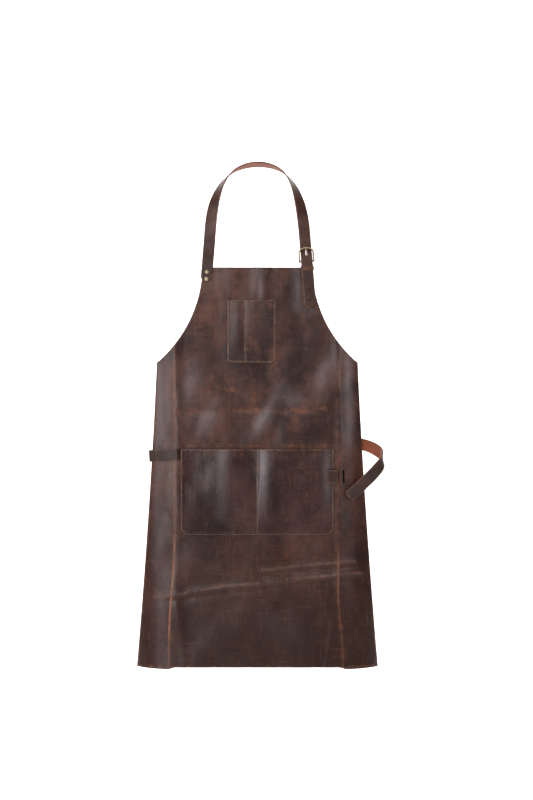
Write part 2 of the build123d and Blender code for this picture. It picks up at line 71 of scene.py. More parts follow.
camera_data = bpy.data.cameras.new("camera")
camera_data.sensor_fit = "VERTICAL"
camera_data.sensor_height = 24.0
camera_data.lens = camera_data.sensor_height * view_distance / view_height
camera = bpy.data.objects.new("camera", camera_data)
camera.location = view_centre + Vector((0, -view_distance, 0))
camera.rotation_euler = (math.radians(90), 0, 0)
bpy.context.scene.collection.objects.link(camera)
bpy.context.scene.camera = camera
print("lens:", round(camera_data.lens, 1), "mm")

# %% [markdown]
# A white room: a pale floor well below the hem, a pale wall behind, and soft light from
# large lamps. Two tall lamps stand left and right of the camera. Dark waxed leather shows
# little colour of its own, so it is these lamps, mirrored softly in the folds, that draw
# its shape.

# %% Room and lamps
def only(*objects):
    """Selects just these objects, with the first one active."""
    bpy.ops.object.select_all(action="DESELECT")
    for piece in objects:
        piece.select_set(True)
    bpy.context.view_layer.objects.active = objects[0]


def plain_material(name, colour, roughness):
    material = bpy.data.materials.new(name)
    material.use_nodes = True
    shader = material.node_tree.nodes["Principled BSDF"]
    shader.inputs["Base Color"].default_value = (*colour, 1)
    shader.inputs["Roughness"].default_value = roughness
    return material


bpy.ops.object.select_all(action="DESELECT")
bpy.ops.mesh.primitive_plane_add(size=14, location=(0, 1.5, -2.1))
floor = bpy.context.active_object
floor.name = "floor"
bpy.ops.mesh.primitive_plane_add(size=14, location=(0, 3.2, 3), rotation=(math.radians(90), 0, 0))
wall = bpy.context.active_object
wall.name = "wall"
floor_paper = plain_material("floor_paper", (0.8, 0.8, 0.8), 0.9)
wall_paper = plain_material("wall_paper", (0.85, 0.85, 0.85), 0.9)
for paper, glow in ((floor_paper, 0.12), (wall_paper, 0.9)):
    paper_shader = paper.node_tree.nodes["Principled BSDF"]
    paper_shader.inputs["Emission Color"].default_value = (1, 1, 1, 1)
    paper_shader.inputs["Emission Strength"].default_value = glow
for sheet_of_paper, paper in ((floor, floor_paper), (wall, wall_paper)):
    sheet_of_paper.data.materials.append(paper)

world = bpy.data.worlds.new("room")
world.use_nodes = True
world.node_tree.nodes["Background"].inputs["Color"].default_value = (1, 1, 1, 1)
world.node_tree.nodes["Background"].inputs["Strength"].default_value = 0.12
seen = world.node_tree.nodes.new("ShaderNodeLightPath")
pale = world.node_tree.nodes.new("ShaderNodeMapRange")
world.node_tree.links.new(seen.outputs["Is Camera Ray"], pale.inputs["Value"])
pale.inputs["To Min"].default_value = 0.12
pale.inputs["To Max"].default_value = 0.9
world.node_tree.links.new(pale.outputs["Result"], world.node_tree.nodes["Background"].inputs["Strength"])
bpy.context.scene.world = world
bpy.context.scene.view_settings.view_transform = "Standard"


def lamp(name, place, aim, size, power):
    data = bpy.data.lights.new(name, "AREA")
    data.shape = "RECTANGLE"
    data.size, data.size_y = size
    data.energy = power
    lamp_object = bpy.data.objects.new(name, data)
    lamp_object.location = place
    lamp_object.visible_camera = False
    direction = Vector(aim) - Vector(place)
    lamp_object.rotation_euler = direction.to_track_quat("-Z", "Y").to_euler()
    bpy.context.scene.collection.objects.link(lamp_object)


lamp("left_lamp", (-2.3, -1.8, 0.0), (0, 0, -0.6), (0.5, 2.0), 17)
lamp("left_strip", (-1.25, -3.2, -0.45), (0, 0, -0.5), (0.2, 1.7), 24)
lamp("right_strip", (1.5, -3.1, -0.35), (0, 0, -0.5), (0.25, 0.8), 10)
lamp("near_strip", (-0.55, -3.4, 0.5), (0, 0, -0.5), (0.22, 0.7), 9)
lamp("top_lamp", (-0.3, -1.6, 1.9), (0, 0, -0.5), (1.4, 0.6), 13)
lamp("wall_lamp", (0, 0.9, 2.4), (0, 3.2, -0.6), (5, 1.2), 160)

# %% [markdown]
# The sizes that the visual pieces share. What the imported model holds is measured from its
# nodes. The rest are the few shapes that a box can't tell: the creases where the side
# flaps turn back, the armhole and the lean of the strap's legs.

# %% Shared sizes
hide_low, hide_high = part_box("apron_body")
hide_thick = 2.4 * MM
panel_y = hide_low[1] + hide_thick / 2
hide_front = hide_low[1]
top_z = hide_high[2]
flap_hem_z = hide_low[2]
middle_hem_z = flap_hem_z + 4 * MM
crease_x = 174 * MM
flap_run = 88 * MM
flap_radius = (flap_run**2 + (45 * MM) ** 2) / (2 * 45 * MM)
strap_width = 25 * MM
strap_thick = 3 * MM
print("hide front at y", round(hide_front / MM, 2), "mm; hem at z", round(flap_hem_z / MM))


def circle_through(a, b, c):
    """Centre and radius of the circle through three (x, z) points."""
    ax, az = a
    bx, bz = b
    cx, cz = c
    d = 2 * (ax * (bz - cz) + bx * (cz - az) + cx * (az - bz))
    a2, b2, c2 = ax * ax + az * az, bx * bx + bz * bz, cx * cx + cz * cz
    x = (a2 * (bz - cz) + b2 * (cz - az) + c2 * (az - bz)) / d
    z = (a2 * (cx - bx) + b2 * (ax - cx) + c2 * (bx - ax)) / d
    return x, z, math.hypot(ax - x, az - z)


bib_side = (0.1195, -0.244)
armhole_end = (0.209, -0.419)
shoulder = (0.216, -0.424)
armhole = circle_through(bib_side, (0.145, -0.333), armhole_end)
side = circle_through(shoulder, (0.234, -0.740), (0.2615, -1.084))


def arc_x(circle, z, sign):
    x, centre_z, radius = circle
    return x + sign * math.sqrt(max(radius**2 - (z - centre_z) ** 2, 0))


armhole_sign = 1 if armhole[0] < armhole_end[0] else -1
side_sign = 1 if side[0] < shoulder[0] else -1


def half_width(z):
    """Half the hide's width at a height."""
    if z > bib_side[1]:
        return bib_side[0]
    if z > armhole_end[1]:
        return arc_x(armhole, z, armhole_sign)
    if z > shoulder[1]:
        share = (armhole_end[1] - z) / (armhole_end[1] - shoulder[1])
        return armhole_end[0] + share * (shoulder[0] - armhole_end[0])
    return arc_x(side, z, side_sign)


# %% [markdown]
# Leather is never quite flat. The hide keeps the soft swells it had on the roll, the two
# folds it was packed with, and fine creases where it was bent. One function gives how far
# the front stands off the plain bent sheet at any place. Everything that lies on the hide
# asks the same function, so the pockets and the thread follow its swells.

# %% The hide's relief
def smooth_step(low, high, value):
    share = min(max((value - low) / (high - low), 0), 1)
    return share * share * (3 - 2 * share)


def bump(distance, width):
    return math.exp(-((distance / width) ** 2))


def along_line(x, points):
    """Height of a crease line at x, by straight runs between its points; None outside them."""
    for (x0, z0), (x1, z1) in zip(points, points[1:]):
        if x0 <= x <= x1:
            return z0 + (z1 - z0) * (x - x0) / (x1 - x0)
    return None


long_crease = [(-0.230, -0.930), (-0.175, -0.923), (-0.07, -0.905), (0.027, -0.896),
               (0.109, -0.886), (0.225, -0.876)]
short_crease = [(0.006, -0.871), (0.098, -0.860), (0.215, -0.851)]
middle_crease = [(-0.174, -0.533), (-0.09, -0.530), (0.0, -0.526), (0.08, -0.531), (0.15, -0.522)]
pocket_crease = [(-0.165, -0.604), (0.0, -0.603), (0.15, -0.604)]


lumps = [
    # middle x and z, half sizes along x and z, height in millimetres, slant
    (-0.095, -0.548, 0.022, 0.035, 3.0, 0.35),
    (0.020, -0.548, 0.018, 0.040, 3.2, 0.5),
    (0.085, -0.500, 0.030, 0.025, 1.6, -0.3),
    (0.156, -0.450, 0.022, 0.050, 2.8, 0.3),
    (-0.130, -0.470, 0.025, 0.060, 2.0, 0.2),
    (0.110, -0.260, 0.014, 0.050, 1.6, -0.2),
    (-0.150, -0.860, 0.030, 0.050, 1.2, 0.3),
    (0.060, -0.980, 0.050, 0.050, 0.7, -0.4),
    (-0.080, -1.000, 0.035, 0.060, 0.6, 0.5),
]


def swell(x, z):
    """Slow waves, and a few larger lumps, over the whole hide, in metres."""
    wave = 3.6 * noise.noise(Vector((6 * x, 0.3, 5 * z)))
    wave += 1.9 * noise.noise(Vector((17 * x, 5.1, 12 * z)))
    wave += 0.45 * noise.noise(Vector((45 * x, 9.7, 36 * z)))
    for middle_x, middle_z, wide, tall, height, slant in lumps:
        down = z - middle_z
        sideways = x - middle_x - slant * down
        wave += height * math.exp(-((sideways / wide) ** 2) - (down / tall) ** 2)
    return wave * MM


def hold_flat(x, z):
    """1 where the leather is free, 0 where rivets, straps or seams hold it flat."""
    straps = smooth_step(0.26, 0.32, -z) + (1 - smooth_step(0.08, 0.095, abs(x)))
    return min(straps, 1.0)


def relief(x, z):
    """How far the hide's front stands towards the viewer, in metres."""
    out = swell(x, z)
    fade_top = 1 - smooth_step(0.235, 0.33, -z)
    out += 2.8 * MM * fade_top * bump(x - 0.004 - 0.06 * (z + 0.22), 0.013)
    out += 1.6 * MM * fade_top * bump(x + 0.062, 0.02)
    for sign in (-1, 1):
        ridge_x = crease_x + sign * 0.004 * math.sin(7 * z) - 0.02 * smooth_step(0.9, 1.1, -z)
        out += 1.5 * MM * bump(abs(x) - ridge_x, 0.009) if sign * x > 0 else 0
    line = along_line(x, middle_crease)
    if line is not None:
        out -= 1.1 * MM * bump(z - line, 0.007) - 0.7 * MM * bump(z - line - 0.018, 0.012)
    for crease, depth in ((long_crease, 1.5), (short_crease, 1.1)):
        line = along_line(x, crease)
        if line is not None:
            out += depth * MM * (bump(z - line, 0.0055) - 0.8 * bump(z - line + 0.012, 0.008))
    return out * hold_flat(x, z)


def sheet_y(x, z):
    """Mid-thickness of the bent hide at a place."""
    past = abs(x) - crease_x
    bend = flap_radius - math.sqrt(flap_radius**2 - past**2) if past > 0 else 0.0
    return panel_y + bend - relief(x, z)


# %% [markdown]
# Most of this apron is thin sheet, so one helper lays a flat grid on any function of two
# shares, from 0 to 1. The grid starts as Blender's own primitive. Solidify then gives it
# the leather's thickness, with the grain on one side, the suede on the other, and the cut
# edge all round as a third finish. A narrow bevel rounds the cut edge, as a maker does
# with an edge slicker.

# %% Sheet helpers
def lay_grid(name, columns, rows, place):
    """A grid of faces laid on place(u, v); u runs across and v along, both 0 to 1."""
    bpy.ops.object.select_all(action="DESELECT")
    bpy.ops.mesh.primitive_grid_add(x_subdivisions=columns, y_subdivisions=rows, size=2)
    piece = bpy.context.active_object
    piece.name = piece.data.name = name
    for vertex in piece.data.vertices:
        vertex.co = place((vertex.co.x + 1) / 2, (vertex.co.y + 1) / 2)
    return piece


def apply_modifier(piece, kind, **settings):
    """Adds one modifier, sets it and applies it, as the Apply button does."""
    only(piece)
    modifier = piece.modifiers.new(kind.lower(), kind)
    for setting, value in settings.items():
        setattr(modifier, setting, value)
    bpy.ops.object.modifier_apply(modifier=modifier.name)


def give_thickness(piece, thick, edge_round):
    """Leather thickness about the laid surface: slot 0 grain, slot 1 suede, slot 2 cut edge."""
    apply_modifier(
        piece, "SOLIDIFY", thickness=thick, offset=0, use_even_offset=True,
        material_offset=1, material_offset_rim=2,
    )
    if edge_round:
        apply_modifier(
            piece, "BEVEL", width=edge_round, segments=2, limit_method="ANGLE",
            angle_limit=math.radians(50), material=-1,
        )
    only(piece)
    bpy.ops.object.shade_smooth_by_angle(angle=math.radians(40))


def cut_with(piece, cutter):
    """Takes the cutter's shape out of the piece, then removes the cutter."""
    apply_modifier(piece, "BOOLEAN", operation="DIFFERENCE", solver="EXACT", object=cutter)
    bpy.data.objects.remove(cutter, do_unlink=True)


def block(centre, size, turn=None):
    bpy.ops.object.select_all(action="DESELECT")
    bpy.ops.mesh.primitive_cube_add(size=1, location=centre)
    cutter = bpy.context.active_object
    cutter.scale = size
    if turn:
        cutter.rotation_euler = turn
    return cutter


def rod(centre, radius, length, turn=(math.radians(90), 0, 0)):
    bpy.ops.object.select_all(action="DESELECT")
    bpy.ops.mesh.primitive_cylinder_add(
        vertices=24, radius=radius, depth=length, location=centre, rotation=turn
    )
    return bpy.context.active_object


print("sheet helpers ready")

# %% [markdown]
# Waxed hide is dark where the wax lies thick, and turns orange brown where the leather has
# been bent or rubbed, because the wax moves away. So the finish needs to know where the
# bends are. We store that on the mesh as an attribute called "rub". The shader breaks it
# up with noise, so the lines look worn rather than drawn. A second attribute paints a grey
# sheen, a painted highlight, on the side of the bulges that faces the lamps. Layers of noise
# give the cloudy tone of a real hide, and fine cells give its pores.

# %% Leather finishes
class Nodes:
    """Short names for building one material's nodes."""

    def __init__(self, name):
        self.material = bpy.data.materials.new(name)
        self.material.use_nodes = True
        self.tree = self.material.node_tree
        self.shader = self.tree.nodes["Principled BSDF"]

    def add(self, kind, inputs=None, **settings):
        node = self.tree.nodes.new(kind)
        for setting, value in settings.items():
            setattr(node, setting, value)
        for socket, value in (inputs or {}).items():
            if isinstance(value, bpy.types.NodeSocket):
                self.tree.links.new(value, node.inputs[socket])
            else:
                node.inputs[socket].default_value = value
        return node

    def stored(self, mask):
        """A value that store_mask has left on the mesh."""
        return self.add("ShaderNodeAttribute", attribute_name=mask).outputs["Fac"]

    def noise(self, coords, scale, detail=4, rough=0.55, distortion=0.0):
        node = self.add("ShaderNodeTexNoise", {
            "Vector": coords, "Scale": scale, "Detail": detail,
            "Roughness": rough, "Distortion": distortion,
        })
        return node.outputs["Fac"]

    def stretch(self, value, low, high, out_low=0.0, out_high=1.0):
        node = self.add("ShaderNodeMapRange", {
            "Value": value, "From Min": low, "From Max": high, "To Min": out_low, "To Max": out_high,
        })
        return node.outputs["Result"]

    def sum(self, kind, a, b):
        return self.add("ShaderNodeMath", {0: a, 1: b}, operation=kind).outputs[0]

    def blend(self, share, a, b):
        node = self.add("ShaderNodeMix", {"Factor": share}, data_type="RGBA")
        for socket, value in ((node.inputs["A"], a), (node.inputs["B"], b)):
            colour_socket = node.inputs[6] if socket.name == "A" else node.inputs[7]
            if isinstance(value, bpy.types.NodeSocket):
                self.tree.links.new(value, colour_socket)
            else:
                colour_socket.default_value = (*value, 1)
        return node.outputs[2]

    def finish(self, colour, roughness, height, depth, strength=1.0):
        bump_node = self.add("ShaderNodeBump", {
            "Height": height, "Distance": depth, "Strength": strength,
        })
        links = self.tree.links
        links.new(colour, self.shader.inputs["Base Color"])
        links.new(roughness, self.shader.inputs["Roughness"])
        links.new(bump_node.outputs["Normal"], self.shader.inputs["Normal"])
        return self.material


def coordinates(nodes, source, turn=(1, 1, 1)):
    output = nodes.add("ShaderNodeTexCoord").outputs[source]
    return nodes.add("ShaderNodeMapping", {"Vector": output, "Scale": turn}).outputs["Vector"]


hem_tint = (0.030, 0.0105, 0.007)
# Pale grey of the painted sheen, a painted highlight where the lamps would shine.
bloom_grey = (0.20, 0.160, 0.165)
ridge_tan = (0.24, 0.155, 0.125)


def grain_leather(name, source, dark, brown, red, rubbed, gloss, hem_shade=0.0, folds=False):
    """The outer side of waxed leather. With folds, thin lines follow the stored distances."""
    nodes = Nodes(name)
    coords = coordinates(nodes, source)
    tall = coordinates(nodes, source, (1, 1, 0.65) if source == "Object" else (1, 0.65, 1))
    clouds = nodes.noise(coords, 6, 4, 0.6, 0.2)
    patches = nodes.noise(tall, 17, 6, 0.68, 0.12)
    streaks = nodes.noise(tall, 64, 6, 0.7, 0.15)
    specks = nodes.noise(coords, 420, 3, 0.6)
    colour = nodes.blend(nodes.stretch(clouds, 0.40, 0.60), dark, brown)
    colour = nodes.blend(nodes.stretch(patches, 0.50, 0.70, 0, 0.7), colour, red)
    colour = nodes.blend(nodes.stretch(streaks, 0.58, 0.80, 0, 0.4), colour, rubbed)
    veins = nodes.noise(coords, 33, 7, 0.72, 0.1)
    colour = nodes.blend(nodes.stretch(veins, 0.50, 0.34, 0, 0.75), colour, dark)
    colour = nodes.blend(nodes.stretch(specks, 0.55, 0.8, 0, 0.35), colour, dark)
    if hem_shade:
        height = nodes.add("ShaderNodeSeparateXYZ", {
            "Vector": nodes.add("ShaderNodeTexCoord").outputs["Object"]}).outputs["Z"]
        colour = nodes.blend(nodes.stretch(height, -0.66, -1.0, 0, hem_shade), colour, hem_tint)
    if source == "Object":
        for stretched in ((1, 1, 0.10), (0.12, 1, 1)):
            hairs = nodes.noise(coordinates(nodes, source, stretched), 210, 4, 0.62, 0.1)
            hairs = nodes.sum("MULTIPLY", nodes.stretch(hairs, 0.56, 0.80, 0, 0.32),
                              nodes.stretch(clouds, 0.35, 0.6, 0.35, 1))
            colour = nodes.blend(hairs, colour, rubbed)
    # Painted highlight: the stored sheen mask paints pale grey where the lamps would be mirrored.
    bloom = nodes.stored("bloom")
    bloom = nodes.sum("MULTIPLY", bloom, nodes.stretch(patches, 0.3, 0.6, 0.55, 1.0))
    colour = nodes.blend(bloom, colour, bloom_grey)
    if folds:
        thin_noise = nodes.stretch(nodes.noise(tall, 70, 4, 0.6), 0.32, 0.55, 0.25, 1.0)
        fold = nodes.stored("fold_away")
        fold = nodes.stretch(nodes.sum("ABSOLUTE", fold, 0.0), 0.0006, 0.0032, 1, 0)
        power = nodes.stored("fold_power")
        fold = nodes.sum("MULTIPLY", nodes.sum("MULTIPLY", fold, power), thin_noise)
        colour = nodes.blend(fold, colour, tuple(1.25 * channel for channel in rubbed))
        ridge = nodes.stored("crease_away")
        ridge = nodes.stretch(nodes.sum("ABSOLUTE", ridge, 0.0), 0.0003, 0.0042, 1, 0)
        ridge = nodes.sum("MULTIPLY", ridge, thin_noise)
        broken_ridge = nodes.stretch(nodes.noise(coords, 9, 4, 0.6), 0.38, 0.6, 0.05, 0.42)
        ridge_share = nodes.sum("MULTIPLY", ridge, broken_ridge)
        colour = nodes.blend(ridge_share, colour, ridge_tan)
    rub = nodes.stored("rub")
    broken = nodes.stretch(nodes.noise(tall, 95, 6, 0.72, 0.4), 0.36, 0.66, -0.45, 0.55)
    worn = nodes.stretch(nodes.sum("ADD", rub, broken), 0.1, 1.3)
    worn = nodes.sum("MULTIPLY", worn, nodes.stretch(rub, 0.02, 0.4))
    colour = nodes.blend(worn, colour, rubbed)
    roughness = nodes.sum("ADD", nodes.stretch(patches, 0.3, 0.7, gloss - 0.07, gloss + 0.08),
                          nodes.stretch(worn, 0, 1, 0, 0.1))
    cells = nodes.add("ShaderNodeTexVoronoi", {"Vector": coords, "Scale": 620},
                      feature="SMOOTH_F1").outputs["Distance"]
    wrinkles = nodes.noise(coords, 150, 5, 0.62, 0.3)
    height = nodes.sum("ADD", nodes.stretch(cells, 0, 1, 0, 0.5),
                       nodes.stretch(wrinkles, 0.3, 0.7, 0, 1.0))
    if folds:
        height = nodes.sum("ADD", height, nodes.sum("MULTIPLY", ridge, 3.5))
    material = nodes.finish(colour, roughness, height, 0.00022, 0.6)
    nodes.shader.inputs["Specular IOR Level"].default_value = 0.32
    nodes.shader.inputs["Coat Weight"].default_value = 0.05
    nodes.shader.inputs["Coat Roughness"].default_value = 0.2
    return material


def flesh_leather(name, source, tan, dark):
    """The inner side: short suede fibres, with no wax."""
    nodes = Nodes(name)
    coords = coordinates(nodes, source)
    clouds = nodes.noise(coords, 14, 5, 0.6, 0.5)
    fibres = nodes.noise(coords, 900, 4, 0.75, 1.5)
    colour = nodes.blend(nodes.stretch(clouds, 0.3, 0.7), tan, dark)
    darker = tuple(0.62 * channel for channel in dark)
    colour = nodes.blend(nodes.stretch(fibres, 0.35, 0.75, 0, 0.6), colour, darker)
    roughness = nodes.stretch(fibres, 0.3, 0.7, 0.86, 0.97)
    material = nodes.finish(colour, roughness, fibres, 0.0005, 0.6)
    nodes.shader.inputs["Sheen Weight"].default_value = 0.25
    nodes.shader.inputs["Sheen Roughness"].default_value = 0.6
    return material


def cut_edge(name, source, tan, dark):
    """The rubbed cut edge: layers of fibre, darkened with wax in places."""
    nodes = Nodes(name)
    coords = coordinates(nodes, source)
    patches = nodes.noise(coords, 120, 5, 0.7, 0.6)
    fibres = nodes.noise(coords, 1500, 3, 0.7)
    colour = nodes.blend(nodes.stretch(patches, 0.35, 0.7), tan, dark)
    roughness = nodes.stretch(patches, 0.3, 0.7, 0.45, 0.7)
    return nodes.finish(colour, roughness, fibres, 0.0003, 0.5)


hide_grain = grain_leather(
    "hide_grain", "Object", dark=(0.034, 0.0145, 0.0125), brown=(0.108, 0.046, 0.0345),
    red=(0.165, 0.058, 0.038), rubbed=(0.31, 0.115, 0.056), gloss=0.33, hem_shade=0.8, folds=True,
)
pocket_grain = grain_leather(
    "pocket_grain", "Object", dark=(0.028, 0.0130, 0.0128), brown=(0.068, 0.031, 0.028),
    red=(0.088, 0.037, 0.031), rubbed=(0.26, 0.110, 0.060), gloss=0.28,
)
bib_grain = grain_leather(
    "bib_pocket_leather_grain", "Object", dark=(0.034, 0.0145, 0.0125), brown=(0.095, 0.041, 0.032),
    red=(0.150, 0.054, 0.036), rubbed=(0.34, 0.165, 0.105), gloss=0.36,
)
band_grain = grain_leather(
    "band_leather_grain", "Object", dark=(0.045, 0.021, 0.016), brown=(0.120, 0.055, 0.040),
    red=(0.165, 0.063, 0.040), rubbed=(0.36, 0.150, 0.080), gloss=0.38,
)
strap_grain = grain_leather(
    "strap_grain", "UV", dark=(0.045, 0.021, 0.016), brown=(0.105, 0.047, 0.034),
    red=(0.165, 0.063, 0.040), rubbed=(0.33, 0.130, 0.065), gloss=0.38,
)
waist_grain = grain_leather(
    "waist_strap_grain", "UV", dark=(0.036, 0.018, 0.014), brown=(0.076, 0.037, 0.027),
    red=(0.120, 0.049, 0.032), rubbed=(0.24, 0.105, 0.058), gloss=0.42,
)
hide_flesh = flesh_leather("hide_flesh", "Object", (0.24, 0.115, 0.062), (0.15, 0.066, 0.036))
strap_flesh = flesh_leather("strap_flesh", "UV", (0.40, 0.105, 0.045), (0.24, 0.060, 0.027))
hide_edge = cut_edge("hide_edge", "Object", (0.30, 0.15, 0.085), (0.07, 0.034, 0.022))
strap_edge = cut_edge("strap_edge", "Object", (0.26, 0.105, 0.055), (0.06, 0.027, 0.018))
# The right slot's walls are painted near black with almost no shine: painted shadow for the dark inside
# of the slit.
slot_painted_shadow = cut_edge("slot_painted_shadow", "Object", (0.006, 0.003, 0.002), (0.003, 0.0015, 0.001))
slot_painted_shadow.node_tree.nodes["Principled BSDF"].inputs["Specular IOR Level"].default_value = 0.05
print("leather finishes:", [m.name for m in bpy.data.materials if "_" in m.name][:8])

# %% [markdown]
# Brass that hangs in a workshop turns dull and brown in its hollows, and stays bright
# where it is handled. Waxed linen thread is pale at first and picks up leather dust.

# %% Brass and thread
def aged_brass():
    nodes = Nodes("aged_brass")
    coords = coordinates(nodes, "Object")
    stain = nodes.noise(coords, 160, 6, 0.68, 0.8)
    grit = nodes.noise(coords, 1100, 3, 0.6)
    colour = nodes.blend(nodes.stretch(stain, 0.42, 0.68), (0.60, 0.47, 0.29), (0.17, 0.115, 0.062))
    roughness = nodes.sum("ADD", nodes.stretch(stain, 0.35, 0.7, 0.24, 0.46),
                          nodes.stretch(grit, 0.3, 0.7, 0, 0.08))
    material = nodes.finish(colour, roughness, grit, 0.0001, 0.4)
    nodes.shader.inputs["Metallic"].default_value = 1.0
    return material


def waxed_thread():
    nodes = Nodes("waxed_thread")
    coords = coordinates(nodes, "Object")
    dust = nodes.noise(coords, 60, 4, 0.6)
    strands = nodes.add("ShaderNodeTexWave", {
        "Vector": coords, "Scale": 900, "Distortion": 1.2, "Detail": 2,
    }, bands_direction="DIAGONAL").outputs["Fac"]
    colour = nodes.blend(nodes.stretch(dust, 0.35, 0.7), (0.50, 0.36, 0.27), (0.26, 0.17, 0.12))
    colour = nodes.blend(nodes.stretch(strands, 0, 1, 0, 0.35), colour, (0.09, 0.055, 0.04))
    roughness = nodes.stretch(dust, 0.3, 0.7, 0.55, 0.75)
    return nodes.finish(colour, roughness, strands, 0.0002, 0.5)


brass = aged_brass()
thread = waxed_thread()
for node_name in ("strap_rivet_caps", "strap_rivet_backs", "tab_rivet_caps", "tab_rivet_backs",
                  "buckle_frame", "buckle_bar", "buckle_prong"):
    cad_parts[node_name].material_slots[0].material = brass
print("brass on the rivets and the buckle")

# %% [markdown]
# The hide is one piece of leather, cut with two round armholes. Its middle hangs flat and
# its two sides turn back like the covers of a book. The grid's rows are packed closer
# where the outline turns sharply, at the top of the armhole and at the little shoulder.

# %% The hide
row_marks = [(flap_hem_z, 150), (shoulder[1], 3), (armhole_end[1], 44), (bib_side[1], 6), (top_z, 0)]
row_heights = []
for (low, count), (high, _) in zip(row_marks, row_marks[1:]):
    row_heights += [low + (high - low) * step / count for step in range(count)]
row_heights.append(top_z)
hide_columns = 116


def hem_rise(x):
    """The middle panel's hem is a little higher than the flaps'."""
    return (middle_hem_z - flap_hem_z) * (1 - smooth_step(0.177, 0.192, abs(x)))


def hide_place(u, v):
    along = v * (len(row_heights) - 1)
    index = min(int(along), len(row_heights) - 2)
    z = row_heights[index] + (row_heights[index + 1] - row_heights[index]) * (along - index)
    x = (2 * u - 1) * half_width(z)
    near_hem = 1 - smooth_step(0.0, 0.06, z - flap_hem_z)
    z += hem_rise(x) * near_hem
    corner = smooth_step(0.108, half_width(top_z), abs(x)) * smooth_step(-0.232, top_z, z)
    z -= 4 * MM * corner * corner
    return Vector((x, sheet_y(x, z), z))


def store_mask(piece, name, rule):
    """Writes a mask, 0 to 1, at each point from the rule of its place."""
    attribute = piece.data.attributes.new(name, "FLOAT", "POINT")
    attribute.data.foreach_set("value", [rule(v.co) for v in piece.data.vertices])


def streak(place, x, wide, low, high, soft=0.02):
    """A soft upright band between two heights."""
    return bump(place.x - x, wide) * smooth_step(low - soft, low, place.z) * (
        1 - smooth_step(high, high + soft, place.z))


def hide_bloom(place):
    """Painted sheen: a painted grey highlight on the side of each lump and fold that faces the lamps,
    and in bands on the bib top and the flaps.
    """
    x, z = place.x, place.z
    grey = 0.0
    for middle_x, middle_z, wide, tall, height, slant in lumps:
        down = z - middle_z
        sideways = x - middle_x + 0.4 * wide - slant * down
        grey += 0.22 * height * math.exp(-((sideways / wide) ** 2) - (down / tall) ** 2)
    grey = max(grey, 0.95 * streak(place, 0.005 - 0.05 * (z + 0.25), 0.006, -0.285, -0.215, 0.03))
    grey = max(grey, 0.5 * streak(place, 0.085, 0.012, -0.300, -0.215, 0.03))
    grey = max(grey, 0.35 * streak(place, -0.062, 0.010, -0.260, -0.215, 0.03))
    left_flap = 0.65 - 0.25 * smooth_step(0.65, 0.9, -z)
    grey = max(grey, left_flap * streak(place, -0.207, 0.013, -1.090, -0.440, 0.05))
    grey = max(grey, 0.55 * streak(place, 0.197, 0.011, -0.580, -0.430, 0.06))
    ragged = 0.75 + 0.5 * noise.noise(Vector((26 * x, 3.3, 15 * z)))
    return min(grey * ragged, 0.85)


def fold_away(place):
    """Distance from the line where the flap turns back, which drifts out towards the hem."""
    x, z = place.x, place.z
    if x < 0:
        return -x - crease_x - 0.004 - 0.012 * smooth_step(0.80, 1.03, -z)
    return x - crease_x - 0.010 * smooth_step(0.92, 1.06, -z)


def fold_power(place):
    x, z = place.x, place.z
    if x < 0:
        return 0.25 + 0.6 * smooth_step(0.79, 0.84, -z) * (1 - smooth_step(1.0, 1.05, -z))
    return 0.5 * smooth_step(0.80, 0.86, -z) * (1 - 0.6 * smooth_step(0.93, 0.97, -z))


def crease_away(place):
    """Distance above the nearer of the two slanting creases, or far away where there is none."""
    lines = [along_line(place.x, points) for points in (long_crease, short_crease)]
    gaps = [place.z - line for line in lines if line is not None]
    return min(gaps, key=abs) if gaps else 0.05


def crease_rub(place):
    """Wax pushed away along the hide's creases and cut edges."""
    x, z = place.x, place.z
    rub = 0.22 * smooth_step(0.40, 0.45, -z) * bump(fold_away(place), 0.0085)
    for line_points, width, power in (
        (middle_crease, 0.007, 0.35), (pocket_crease, 0.005, 0.3),
        (long_crease, 0.004, 0.28), (short_crease, 0.004, 0.25),
    ):
        line = along_line(x, line_points)
        if line is not None:
            rub = max(rub, power * bump(z - line, width))
    for spot_x, spot_z, wide in ((-0.005, -0.529, 0.03), (0.092, -0.527, 0.025)):
        rub = max(rub, 0.6 * bump(x - spot_x, wide) * bump(z - spot_z, 0.008))
    rub = max(rub, 0.24 * streak(place, -0.008, 0.010, -0.565, -0.495, 0.02))
    rub = max(rub, 0.45 * bump(z + 0.482 + 0.3 * (x + 0.062), 0.007) * bump(x + 0.062, 0.03))
    rub = max(rub, 0.4 * bump(z - flap_hem_z - 0.004, 0.004))
    rub = max(rub, 0.5 * bump(half_width(z) - abs(x), 0.003))
    rub = max(rub, 0.4 * bump(top_z - z, 0.0025))
    return rub


def edged_cutter(cutter, finish=2):
    """Empty slots on the cutter, so that the new wall takes a finish: 2 is the cut edge."""
    for _ in range(finish + 1):
        cutter.data.materials.append(None)
    for face in cutter.data.polygons:
        face.material_index = finish
    return cutter


hide = lay_grid("hide", hide_columns, len(row_heights) - 1, hide_place)
for finish in (hide_grain, hide_flesh, hide_edge):
    hide.data.materials.append(finish)
give_thickness(hide, hide_thick, 0.5 * MM)
left_slot = (-0.1685, -0.622)
right_slot = (0.180, -0.6695)
cut_with(hide, edged_cutter(
    block((left_slot[0], 0, left_slot[1]), (8 * MM, 0.03, 24.4 * MM), (0, -math.radians(3.3), 0))))
# Slot 3 holds the painted shadow for the right slot's walls.
hide.data.materials.append(slot_painted_shadow)
slant = math.radians(70)
cut_with(hide, edged_cutter(
    block((right_slot[0], 0, right_slot[1]), (2.3 * MM, 0.03, 28 * MM), (0, 0, slant)), finish=3))
store_mask(hide, "rub", crease_rub)
